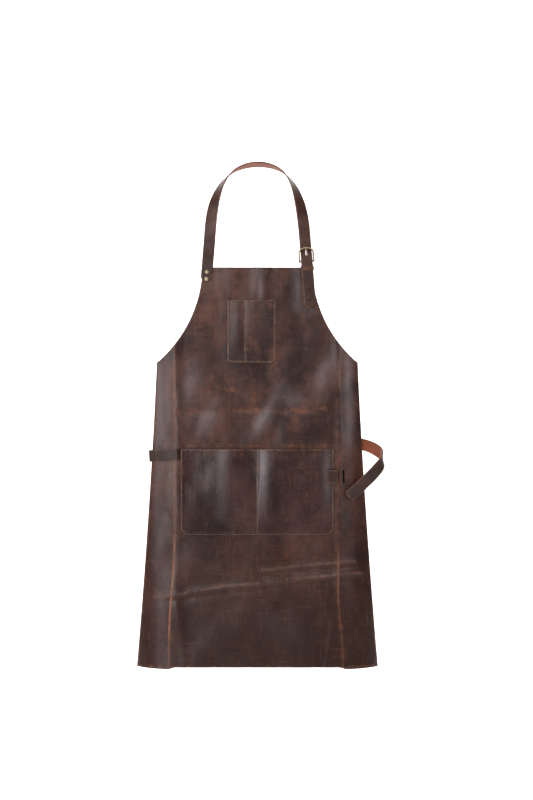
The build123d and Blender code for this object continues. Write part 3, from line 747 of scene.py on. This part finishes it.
# The painted sheen, a painted highlight, is stored as a mask too.
store_mask(hide, "bloom", hide_bloom)
store_mask(hide, "fold_away", fold_away)
store_mask(hide, "fold_power", fold_power)
store_mask(hide, "crease_away", crease_away)
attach(hide, "apron")
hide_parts("apron_body")

# %% [markdown]
# A patch pocket is a flat piece sewn down on three sides and along one dividing seam. A
# little extra width was left when it was sewn, so each mouth stands open a few
# millimetres. We shape that as a bulge that is fullest at the mouth and dies away at the
# seams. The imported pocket's box gives its place and how far it stands out.

# %% Patch pockets
pocket_leather = 1.8 * MM


class Pocket:
    """Where one pocket lies on the hide, and how it bulges."""

    def __init__(self, node, divider, margin, corner, fullest, give, bloom_bands):
        low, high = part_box(node)
        self.left, self.right = low[0], high[0]
        self.bottom, self.top = low[2], high[2]
        self.stand = high[1] - low[1] - pocket_leather
        self.divider, self.margin, self.corner = divider, margin, corner
        self.fullest, self.give = fullest, give
        self.bloom_bands = bloom_bands

    def bulge(self, x, z):
        wall = self.divider if x < self.divider else self.right - self.margin
        start = self.left + self.margin if x < self.divider else self.divider
        share = (x - start) / (wall - start)
        if not 0 < share < 1:
            return 0.0
        rise = smooth_step(self.bottom + self.margin, self.top - 0.15 * (self.top - self.bottom), z)
        skew = math.log(0.5) / math.log(self.fullest[0] if x < self.divider else self.fullest[1])
        across = math.sin(math.pi * share**skew)
        return self.give * self.stand * (0.25 + 0.75 * rise) * across * smooth_step(0, 0.12, rise + 0.04)

    def side_inset(self, z):
        """How far the rounded bottom corner brings the side in at a height."""
        up = self.corner - (z - self.bottom)
        return self.corner - math.sqrt(max(self.corner**2 - up**2, 0)) if up > 0 else 0.0

    def face_y(self, x, z):
        """The pocket leather's front at a place."""
        return sheet_y(x, z) - hide_thick / 2 - pocket_leather - self.bulge(x, z) - 0.05 * MM


# Each pocket's painted sheen bands: middle x, half width and strength of an upright painted highlight.
bib = Pocket("bib_pocket", divider=-0.0265, margin=5 * MM, corner=12 * MM, fullest=(0.5, 0.4),
             give=0.45, bloom_bands=[(-0.045, 0.006, 0.1), (0.010, 0.010, 0.15)])
waist = Pocket("waist_pocket", divider=0.0, margin=12 * MM, corner=20 * MM, fullest=(0.66, 0.26),
               give=1.0, bloom_bands=[(-0.074, 0.013, 0.8), (0.013, 0.010, 0.9), (0.150, 0.009, 0.45)])


def pocket_piece(name, pocket, rows, columns, leather):
    heights = []
    for step in range(rows + 1):
        share = step / rows
        heights.append(pocket.bottom + (pocket.top - pocket.bottom) * share**1.25)

    def place(u, v):
        z = heights[round(v * rows)]
        inset = pocket.side_inset(z)
        x = pocket.left + inset + (pocket.right - pocket.left - 2 * inset) * u
        z += 1.2 * MM * math.sin(math.pi * u) * (v - 1) * 0.2
        return Vector((x, pocket.face_y(x, z) + pocket_leather / 2, z))

    piece = lay_grid(name, columns, rows, place)
    for finish in (leather, hide_flesh, hide_edge):
        piece.data.materials.append(finish)
    give_thickness(piece, pocket_leather, 0.4 * MM)

    def rub(place):
        x, z = place.x, place.z
        edge = min(x - pocket.left, pocket.right - x, z - pocket.bottom)
        worn = 0.55 * bump(z - pocket.top, 0.0022)
        worn = max(worn, 0.55 * bump(edge - pocket.side_inset(z), 0.0022))
        worn = max(worn, 0.3 * bump(x - pocket.divider, 0.003))
        return max(worn, 0.18 * bump(z - pocket.top + 0.012, 0.008))

    # Painted highlight: upright pale bands of painted sheen over the pocket's bulges, fading towards the
    # bottom.
    def bloom(place):
        fade = smooth_step(pocket.bottom + 0.01, pocket.bottom + 0.11, place.z)
        bands = [bump(place.x - x, wide) * power for x, wide, power in pocket.bloom_bands]
        return fade * max(bands) * (0.8 + 0.4 * noise.noise(Vector((30 * place.x, 1.7, 12 * place.z))))

    store_mask(piece, "rub", rub)
    store_mask(piece, "bloom", bloom)
    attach(piece, "apron")
    return piece


bib_pocket = pocket_piece("bib_pocket_patch", bib, 46, 44, bib_grain)
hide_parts("bib_pocket")
waist_pocket = pocket_piece("waist_pocket_patch", waist, 56, 96, pocket_grain)
cut_with(waist_pocket, edged_cutter(block((0.2, 0, right_slot[1]), (0.05, 0.05, 0.03))))
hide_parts("waist_pocket")
for piece, pocket in ((bib_pocket, bib), (waist_pocket, waist)):
    size = (pocket.right - pocket.left, pocket.top - pocket.bottom)
    print(piece.name, [round(side / MM) for side in size], "mm,", len(piece.data.polygons), "faces")

# %% [markdown]
# Each stitch is a short length of waxed thread that dips into the leather at both ends.
# One stitch is modelled from a sphere and copied along the seams. It has only a few dozen
# faces, because there are hundreds of them.

# %% One stitch
bpy.ops.object.select_all(action="DESELECT")
bpy.ops.mesh.primitive_uv_sphere_add(
    segments=8, ring_count=6, radius=0.5, rotation=(0, math.radians(90), 0))
one_stitch = bpy.context.active_object
bpy.ops.object.transform_apply(location=False, rotation=True, scale=False)
stitch_size = Vector((3.5, 0.95, 0.95)) * MM
stitch_points = np.array([v.co for v in one_stitch.data.vertices])
# A new sphere may list its corners in another order each time, so we fix the order here.
order = np.lexsort(stitch_points.round(5).T)
stitch_points = stitch_points[order]
new_number = np.argsort(order)
stitch_faces = []
for face in one_stitch.data.polygons:
    corners = [int(new_number[corner]) for corner in face.vertices]
    first_corner = corners.index(min(corners))
    stitch_faces.append(corners[first_corner:] + corners[:first_corner])
stitch_faces.sort()
stitch_points[:, 2] -= 0.9 * stitch_points[:, 0] ** 2
stitch_points *= np.array(stitch_size)
bpy.data.objects.remove(one_stitch, do_unlink=True)
print("one stitch:", len(stitch_faces), "faces")


def sew(name, marks, node):
    """Copies the stitch to marks, each (centre, along, outward), as one piece of thread."""
    points, faces = [], []
    for index, (centre, along, outward) in enumerate(marks):
        along = along.normalized()
        across = outward.cross(along).normalized()
        lift = across.cross(along) * -1
        turn = np.array([along, across, lift])
        first = len(stitch_points) * index
        points.append(stitch_points @ turn + np.array(centre))
        faces += [[first + corner for corner in face] for face in stitch_faces]
    mesh = bpy.data.meshes.new(name)
    mesh.from_pydata(np.concatenate(points).tolist(), [], faces)
    piece = bpy.data.objects.new(name, mesh)
    bpy.context.scene.collection.objects.link(piece)
    mesh.materials.append(thread)
    only(piece)
    bpy.ops.object.mode_set(mode="EDIT")
    bpy.ops.mesh.select_all(action="SELECT")
    bpy.ops.mesh.normals_make_consistent(inside=False)
    bpy.ops.object.mode_set(mode="OBJECT")
    bpy.ops.object.shade_smooth()
    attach(piece, "apron")
    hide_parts(node)
    print(name, len(marks), "stitches")
    return piece


def seam(start, end, pitch=5 * MM):
    """Places (x, z) of the stitches along one straight seam, with its heading."""
    length = math.hypot(end[0] - start[0], end[1] - start[1])
    count = max(1, round(length / pitch))
    heading = ((end[0] - start[0]) / length, (end[1] - start[1]) / length)
    return [
        (start[0] + (end[0] - start[0]) * (step + 0.5) / count,
         start[1] + (end[1] - start[1]) * (step + 0.5) / count, *heading)
        for step in range(count)
    ]


def corner_seam(centre, radius, first, last, pitch=5 * MM):
    count = max(1, round(radius * math.radians(abs(last - first)) / pitch))
    marks = []
    for step in range(count):
        bearing = math.radians(first + (last - first) * (step + 0.5) / count)
        marks.append((centre[0] + radius * math.cos(bearing), centre[1] + radius * math.sin(bearing),
                      -math.sin(bearing), math.cos(bearing)))
    return marks


def pocket_seams(pocket):
    inset = 2.5 * MM
    left, right = pocket.left + inset, pocket.right - inset
    low = pocket.bottom + pocket.corner
    top = pocket.top - 1 * MM
    places = seam((left, top), (left, low)) + seam((right, top), (right, low))
    places += seam((pocket.left + pocket.corner, pocket.bottom + inset),
                   (pocket.right - pocket.corner, pocket.bottom + inset))
    places += seam((pocket.divider, top), (pocket.divider, pocket.bottom + 4 * MM))
    radius = pocket.corner - inset
    places += corner_seam((pocket.left + pocket.corner, low), radius, 180, 270)
    places += corner_seam((pocket.right - pocket.corner, low), radius, 270, 360)
    return places


def on_pocket(pocket, places):
    marks = []
    for x, z, heading_x, heading_z in places:
        centre = Vector((x, pocket.face_y(x, z) - 0.12 * MM, z))
        ahead = Vector((x + heading_x * MM, 0, z + heading_z * MM))
        ahead.y = pocket.face_y(ahead.x, ahead.z) - 0.12 * MM
        marks.append((centre, ahead - centre, Vector((0, -1, 0))))
    return marks


sew("bib_pocket_thread", on_pocket(bib, pocket_seams(bib)), "bib_pocket_stitches")
waist_places = [
    mark for mark in pocket_seams(waist)
    if not (abs(mark[1] - right_slot[1]) < 17 * MM and mark[0] > 0.14)
]
sew("waist_pocket_thread", on_pocket(waist, waist_places), "waist_pocket_stitches")

# %% [markdown]
# Every strap is a long flat ribbon that bends and twists. It is laid on a line of stations.
# Each station has a middle, a direction across the strap and a half width. The width
# narrows at a rounded or pointed tip. The map for its finish is laid out in real metres,
# so the grain stays the same size on every strap.

# %% Strap helpers
def spaced(points, step):
    """Points every step along a run of straight lines."""
    points = [Vector(p) for p in points]
    result = [points[0]]
    for a, b in zip(points, points[1:]):
        count = max(1, round((b - a).length / step))
        result += [a.lerp(b, share / count) for share in range(1, count + 1)]
    return result


def rounded(points, radius, steps=7):
    """The run of points with each corner rounded off over the given reach."""
    points = [Vector(p) for p in points]
    result = [points[0]]
    for before, corner, after in zip(points, points[1:], points[2:]):
        reach = min(radius, (corner - before).length * 0.49, (after - corner).length * 0.49)
        start = corner + (before - corner).normalized() * reach
        end = corner + (after - corner).normalized() * reach
        for step in range(steps + 1):
            share = step / steps
            result.append(start.lerp(corner, share).lerp(corner.lerp(end, share), share))
    result.append(points[-1])
    return result


def strap(name, middles, across, halves, thick, columns=8, finishes=None, edge_round=0.5 * MM,
          worn=None):
    """A ribbon through the stations; its grain side faces across x heading."""
    count = len(middles) - 1
    run = [0.0]
    for a, b in zip(middles, middles[1:]):
        run.append(run[-1] + (b - a).length)

    def place(u, v):
        index = round(v * count)
        return middles[index] + across[index] * ((2 * u - 1) * halves[index])

    piece = lay_grid(name, columns, count, place)
    uv_layer = piece.data.uv_layers[0]
    for corner_uv in uv_layer.data:
        u, v = corner_uv.uv
        index = round(v * count)
        corner_uv.uv = ((2 * u - 1) * halves[index], run[index])
    rub = []
    for vertex in range(len(piece.data.vertices)):
        row, column = divmod(vertex, columns + 1)
        edge = 0.62 if column in (0, columns) else 0.0
        from_tip = min(run[row], run[-1] - run[row])
        rub.append(max(edge, 0.45 * bump(from_tip, 0.003), worn(run[row]) if worn else 0.0))
    piece.data.attributes.new("rub", "FLOAT", "POINT").data.foreach_set("value", rub)
    for finish in finishes or (strap_grain, strap_flesh, strap_edge):
        piece.data.materials.append(finish)
    give_thickness(piece, thick, edge_round)
    return piece


def tip_half(from_end, corner, half=strap_width / 2):
    """Half width near a strap's end whose corners are rounded."""
    if from_end >= corner:
        return half
    return half - corner + math.sqrt(max(corner**2 - (corner - from_end) ** 2, 0))


lean = math.radians(4.5)
fold_half = 103 * MM
fold_z = -165 * MM


def leg_point(side, drop, y):
    """A place on a strap leg: down it from the fold, and forward or back."""
    return Vector((side * (fold_half + drop * math.sin(lean)), y, fold_z - drop * math.cos(lean)))


print("strap width", strap_width / MM, "mm; legs lean", round(math.degrees(lean), 1), "degrees")

# %% [markdown]
# The neck strap is one length. Its left end is riveted to the bib. It climbs, turns over
# so that its suede side faces the wearer at the top, comes down, passes behind the
# buckle's top rail and out through the frame, and goes under the keeper. We follow that
# whole run with one ribbon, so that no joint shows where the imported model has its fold.

# %% Neck strap
def smooth_run(points, start_heading, end_heading, count):
    """A smooth curve through points that leaves and arrives along the given headings."""
    p = np.array([list(q) for q in points])
    t = np.concatenate([[0], np.cumsum(np.linalg.norm(np.diff(p, axis=0), axis=1))])
    n = len(p)
    matrix = np.zeros((n, n))
    right = np.zeros((n, 3))
    matrix[0, 0] = matrix[-1, -1] = 1
    right[0], right[-1] = start_heading, end_heading
    for i in range(1, n - 1):
        before, after = t[i] - t[i - 1], t[i + 1] - t[i]
        matrix[i, i - 1 : i + 2] = after, 2 * (before + after), before
        right[i] = 3 * (before * (p[i + 1] - p[i]) / after + after * (p[i] - p[i - 1]) / before)
    slope = np.linalg.solve(matrix, right)
    run = []
    for value in np.linspace(0, t[-1], count):
        i = min(int(np.searchsorted(t, value, side="right")) - 1, n - 2)
        gap = t[i + 1] - t[i]
        s = (value - t[i]) / gap
        run.append(Vector(
            (2 * s**3 - 3 * s**2 + 1) * p[i] + (s**3 - 2 * s**2 + s) * gap * slope[i]
            + (3 * s**2 - 2 * s**3) * p[i + 1] + (s**3 - s**2) * gap * slope[i + 1]
        ))
    return run


def headings(middles):
    result = []
    for i in range(len(middles)):
        a, b = middles[max(i - 1, 0)], middles[min(i + 1, len(middles) - 1)]
        result.append((b - a).normalized())
    return result


loop_turn = 106
left_leg_y = hide_front - strap_thick / 2
rail_back_y = 1.725 * MM
tail_y = -8.9 * MM

left_run = rounded(
    [(85 * MM, left_leg_y, 0), (48 * MM, left_leg_y, 0), (18 * MM, 0, 0), (0, 0, 0)], 14 * MM)
right_run = rounded(
    [(0, 0, 0), (7 * MM, rail_back_y, 0), (19.1 * MM, rail_back_y, 0), (27.7 * MM, tail_y, 0),
     (57 * MM, tail_y, 0)], 2.4 * MM)
left_points = [leg_point(-1, p[0], p[1]) for p in spaced(left_run, 2.5 * MM)]
right_points = [leg_point(1, p[0], p[1]) for p in spaced(right_run, 1.5 * MM)]
loop_points = smooth_run(
    [leg_point(-1, 0, 0), (-89 * MM, 0, -70 * MM), (-55 * MM, 0, -16.5 * MM), (0, 0, 1.5 * MM),
     (56 * MM, 0, -15.5 * MM), (88 * MM, 0, -70 * MM), leg_point(1, 0, 0)],
    (math.sin(lean), 0, math.cos(lean)), (math.sin(lean), 0, -math.cos(lean)), 161,
)
middles = left_points[:-1] + loop_points + right_points[1:]
twists = [0.0] * (len(left_points) - 1)
for step in range(len(loop_points)):
    from_fold = 1 - abs(2 * step / (len(loop_points) - 1) - 1)
    twists.append(loop_turn * math.sin(math.radians(90 * from_fold)) ** 2)
twists += [0.0] * (len(right_points) - 1)
across = []
for heading, twist in zip(headings(middles), twists):
    inward = Vector((0, 1, 0)).cross(heading).normalized()
    turn = -math.radians(twist)
    across.append(inward * math.cos(turn) + Vector((0, 1, 0)) * math.sin(turn))
halves = []
length = 0.0
for before, after in zip([middles[0]] + middles, middles):
    length += (after - before).length
    halves.append(max(tip_half(length, 10 * MM), 3 * MM))
neck_strap = strap("neck_strap_ribbon", middles, across, halves, strap_thick)
rivet_drops = (65 * MM, 80 * MM)
tab_rivet_drops = (67 * MM, 79 * MM)
for drop in rivet_drops:
    cut_with(neck_strap, edged_cutter(rod(leg_point(-1, drop, left_leg_y), 1.65 * MM, 8 * MM)))
prong_hole = block(leg_point(1, 24.5 * MM, -4 * MM), (3.6 * MM, 30 * MM, 11 * MM), (0, -lean, 0))
cut_with(neck_strap, edged_cutter(prong_hole))
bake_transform(neck_strap)
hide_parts("neck_strap", "neck_strap_riveted_end", "neck_strap_buckled")
holes = [rod(leg_point(-1, drop, hide_front), 1.65 * MM, 12 * MM) for drop in rivet_drops]
holes += [rod(leg_point(1, drop, hide_front), 1.65 * MM, 12 * MM) for drop in tab_rivet_drops]
only(*holes)
bpy.ops.object.join()
cut_with(hide, edged_cutter(bpy.context.active_object))
print("neck strap:", round(length, 3), "m from the rivets to the keeper")

# %% [markdown]
# The strap's free end hangs down from the keeper, with spare holes and a pointed tip. It
# is a piece of its own, which starts just below the keeper.

# %% Strap tail
tail_run = spaced([leg_point(1, 57.2 * MM, tail_y), leg_point(1, 142 * MM, tail_y)], 2 * MM)
tail_halves = []
for point in tail_run:
    from_end = (point - tail_run[-1]).length
    tail_halves.append(strap_width / 2 * min(1, 0.3 + 0.7 * math.sin(
        math.radians(90) * min(from_end / (16 * MM), 1)) ** 0.8))
tail_across = [Vector((0, 1, 0)).cross(h).normalized() for h in headings(tail_run)]
curl = [3 * MM * smooth_step(0.02, 0.085, (p - tail_run[0]).length) for p in tail_run]
tail_run = [p + Vector((0, 0.6 * MM - c * 0.2, 0)) for p, c in zip(tail_run, curl)]
strap_tail = strap("neck_strap_free_end", tail_run, tail_across, tail_halves, strap_thick)
for step in range(2):
    hole_at = leg_point(1, (142 - 76.5 + 0.2) * MM + (60.5 - 25 * step) * MM, tail_y)
    cut_with(strap_tail, edged_cutter(rod(hole_at, 1.9 * MM, 8 * MM)))
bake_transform(strap_tail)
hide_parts("neck_strap_tail")
print("free end:", round((tail_run[0] - tail_run[-1]).length, 3), "m")

# %% [markdown]
# A keeper is a narrow band of leather, closed behind, that holds the free end flat. It
# starts as a cube with its two open ends taken away. Its corners are bevelled round, and
# Solidify gives it its leather.

# %% Keeper
def select_where(piece, kind, rule):
    """In edit mode, selects the piece's faces or edges for which the rule holds."""
    only(piece)
    bpy.ops.object.mode_set(mode="EDIT")
    bpy.ops.mesh.select_mode(type=kind)
    bpy.ops.mesh.select_all(action="DESELECT")
    bpy.ops.object.mode_set(mode="OBJECT")
    chosen = piece.data.polygons if kind == "FACE" else piece.data.edges
    for part in chosen:
        part.select = rule(part)
    bpy.ops.object.mode_set(mode="EDIT")


bpy.ops.object.select_all(action="DESELECT")
bpy.ops.mesh.primitive_cube_add(size=1)
keeper = bpy.context.active_object
keeper.name = keeper.data.name = "keeper_band"
keeper.scale = (28 * MM, 9.3 * MM, 10 * MM)
bpy.ops.object.transform_apply(location=False, rotation=False, scale=True)
select_where(keeper, "FACE", lambda face: abs(face.normal.z) > 0.5)
bpy.ops.mesh.delete(type="FACE")
bpy.ops.object.mode_set(mode="OBJECT")
corner_points = keeper.data.vertices
select_where(keeper, "EDGE", lambda edge: abs(
    corner_points[edge.vertices[0]].co.z - corner_points[edge.vertices[1]].co.z) > 5 * MM)
bpy.ops.mesh.bevel(offset=1.6 * MM, segments=4)
bpy.ops.object.mode_set(mode="OBJECT")
for finish in (band_grain, strap_flesh, strap_edge):
    keeper.data.materials.append(finish)
apply_modifier(keeper, "SOLIDIFY", thickness=1.2 * MM, offset=-1, use_even_offset=True,
               material_offset=1, material_offset_rim=2)
apply_modifier(keeper, "BEVEL", width=0.35 * MM, segments=2, limit_method="ANGLE",
               angle_limit=math.radians(50))
keeper.data.transform(Matrix.Rotation(-lean, 4, "Y"))
keeper.data.transform(Matrix.Translation(leg_point(1, 57 * MM, -7.1 * MM)))
bpy.ops.object.shade_smooth_by_angle(angle=math.radians(40))
store_mask(keeper, "rub", lambda place: 0.35 if place.y < -8 * MM else 0.1)
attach(keeper, "apron")
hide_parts("strap_keeper")
print("keeper:", len(keeper.data.polygons), "faces")

# %% [markdown]
# The buckle tab is a short strap folded over the buckle's bar and riveted through the bib.
# A slot in its fold lets the prong through.

# %% Buckle tab
bar_drop, bar_y = 42 * MM, -1.825 * MM
tab_front_y, tab_back_y = -4.7 * MM, 1.05 * MM
tab_radius = (tab_back_y - tab_front_y) / 2
tab_profile = [(86 * MM, tab_front_y), (bar_drop, tab_front_y)]
for step in range(1, 12):
    angle = math.pi * step / 12
    tab_profile.append((bar_drop - tab_radius * math.sin(angle), bar_y - tab_radius * math.cos(angle)))
tab_profile += [(bar_drop, tab_back_y), (86 * MM, tab_back_y)]
tab_points = spaced([(drop, y, 0) for drop, y in tab_profile], 2 * MM)
tab_run = [leg_point(1, p[0], p[1]) for p in tab_points]
tab_across = [Vector((math.cos(lean), 0, math.sin(lean)))] * len(tab_run)
tab_halves = [max(tip_half(86 * MM - p[0], 10 * MM), 3 * MM) for p in tab_points]
buckle_tab = strap("buckle_tab_fold", tab_run, tab_across, tab_halves, 2 * MM, edge_round=0.35 * MM)
tab_slot = block(leg_point(1, bar_drop, bar_y), (4.2 * MM, 20 * MM, 14.2 * MM), (0, -lean, 0))
cut_with(buckle_tab, edged_cutter(tab_slot))
for drop in tab_rivet_drops:
    cut_with(buckle_tab, edged_cutter(rod(leg_point(1, drop, hide_front), 1.65 * MM, 20 * MM)))
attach(buckle_tab, "apron")
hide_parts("buckle_tab")
print("tab:", len(buckle_tab.data.polygons), "faces")

# %% [markdown]
# The waist strap is sewn on behind the left slot, comes out through it, wraps the left
# flap, crosses behind the apron and hangs out on the right, where its free end turns over
# and falls forward. One ribbon follows all of it, and it bends round past the right edge.

# %% Waist strap
strap_offset = hide_thick / 2 + 0.3 * MM + strap_thick / 2
waist_left_z, waist_right_z = -0.622, -0.600
end_root_x = 0.214
tilt = math.atan2(waist_right_z - waist_left_z, end_root_x - left_slot[0])
strap_along = Vector((math.cos(tilt), 0, math.sin(tilt)))
strap_up = Vector((-math.sin(tilt), 0, math.cos(tilt)))
waist_origin = Vector((0, 0, waist_left_z - left_slot[0] * math.tan(tilt)))
left_edge_x = half_width(waist_left_z - strap_width) + 0.6 * MM
edge_angle = math.asin((left_edge_x - crease_x) / flap_radius)
wrap_y = panel_y + flap_radius * (1 - math.cos(edge_angle))
back_y = wrap_y + strap_offset
flat_run = rounded(
    [(left_slot[0] + 40 * MM, panel_y + strap_offset, 0),
     (left_slot[0] + 3.3 * MM, panel_y + strap_offset, 0),
     (left_slot[0] - 3.8 * MM, panel_y - strap_offset, 0),
     (-crease_x - 1 * MM, panel_y - strap_offset, 0)], 1.6 * MM)
for step in range(1, 17):
    angle = edge_angle * step / 16
    flat_run.append(Vector((
        -crease_x - 1 * MM - (flap_radius + strap_offset) * math.sin(angle),
        panel_y + flap_radius - (flap_radius + strap_offset) * math.cos(angle), 0)))
for step in range(1, 13):
    angle = edge_angle + (math.pi - edge_angle) * step / 12
    flat_run.append(Vector((
        -left_edge_x - 1 * MM - strap_offset * math.sin(angle),
        wrap_y - strap_offset * math.cos(angle), 0)))
flat_run.append(Vector((end_root_x, back_y, 0)))
flat_run = spaced(flat_run, 4 * MM)
waist_run = []
for p in flat_run:
    middle = waist_origin + strap_along * p.x + Vector((0, p.y, 0))
    if p.y < 6 * MM or p.x > -0.17:
        on_hide = p.y < 5 * MM or p.x < -0.2
        middle.y -= relief(middle.x, middle.z) if on_hide and p.y < 12 * MM else 0
    waist_run.append(middle)
end_points = [
    (214.3, 1000 * back_y, -600), (236, 1000 * back_y - 0.5, -603.5), (258, 1000 * back_y - 5, -614),
    (269, -2, -630), (258, -15, -652), (234, -17.5, -677), (204, -13, -705), (195, -11.6, -713),
]
end_across = [
    strap_up, (0.3, 0, 0.95), (0.42, -0.25, 0.87), (-0.1, -0.6, 0.8),
    (-0.66, -0.25, 0.71), (-0.75, 0, 0.66), (-0.75, 0, 0.66), (-0.75, 0, 0.66),
]
end_points = [Vector(p) * MM for p in end_points]
end_run = smooth_run(end_points, strap_along, Vector((-0.66, 0.14, -0.74)), 90)
end_lengths = np.concatenate([[0], np.cumsum(
    [(b - a).length for a, b in zip(end_points, end_points[1:])])])
end_values = np.linspace(0, end_lengths[-1], 90)
turn_parts = [np.interp(end_values, end_lengths, [Vector(a)[i] for a in end_across]) for i in range(3)]
end_turns = [Vector(turn) for turn in zip(*turn_parts)]
joined = waist_run + end_run[1:]
waist_across = [strap_up] * len(waist_run)
for heading, turn in zip(headings(end_run)[1:], end_turns[1:]):
    waist_across.append((turn - heading * turn.dot(heading)).normalized())
waist_halves = []
left_to_go = sum((b - a).length for a, b in zip(joined, joined[1:]))
for before, after in zip([joined[0]] + joined, joined):
    left_to_go -= (after - before).length
    waist_halves.append(max(tip_half(left_to_go, 9 * MM), 4 * MM))
waist_strap = strap("waist_strap_ribbon", joined, waist_across, waist_halves, strap_thick,
                    finishes=(waist_grain, strap_flesh, strap_edge))
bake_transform(waist_strap)
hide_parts("waist_strap", "waist_strap_end")
print("waist strap:", len(waist_strap.data.polygons), "faces")

# %% [markdown]
# The waist keeper is a loop sewn over the waist pocket's right edge, next to a slot in the
# hide. It is a short strap that stands up, runs flat and comes down again.

# %% Waist keeper
keeper_left, keeper_right = 151 * MM, 173 * MM
keeper_base = waist.face_y(0.158, right_slot[1]) - 0.1 * MM
keeper_top_y = -10.1 * MM
loop_profile = rounded(
    [(0, keeper_base, -0.685 + 1.1 * MM), (0, keeper_top_y, -0.685 + 1.1 * MM),
     (0, keeper_top_y, -0.654 - 1.1 * MM), (0, keeper_base, -0.654 - 1.1 * MM)], 2.6 * MM)
loop_run = [p + Vector(((keeper_left + keeper_right) / 2, 0, 0)) for p in spaced(loop_profile, 1.6 * MM)]
waist_keeper = strap(
    "waist_keeper_loop", loop_run, [Vector((1, 0, 0))] * len(loop_run),
    [(keeper_right - keeper_left) / 2] * len(loop_run), 2.2 * MM, columns=10, edge_round=0.4 * MM,
    worn=lambda run: 0.06)
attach(waist_keeper, "apron")
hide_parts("waist_keeper")
keeper_marks = []
for end in (-1, 1):
    row = right_slot[1] + end * 13 * MM
    for x, z, heading_x, heading_z in seam((keeper_left + 2 * MM, row), (keeper_right - 2 * MM, row)):
        middle = Vector((x, keeper_top_y - 1.2 * MM, z))
        keeper_marks.append((middle, Vector((1, 0, 0)), Vector((0, -1, 0))))
sew("waist_keeper_thread", keeper_marks, "waist_keeper_stitches")
anchor_marks = []
for x in (left_slot[0] + 12 * MM, left_slot[0] + 36 * MM):
    for across_step in range(4):
        middle = waist_origin + strap_along * x + strap_up * ((across_step - 1.5) * 5 * MM)
        middle.y = panel_y + strap_offset + strap_thick / 2 - relief(middle.x, middle.z) + 0.1 * MM
        anchor_marks.append((middle, strap_up, Vector((0, 1, 0))))
sew("waist_anchor_thread", anchor_marks, "waist_anchor_stitches")
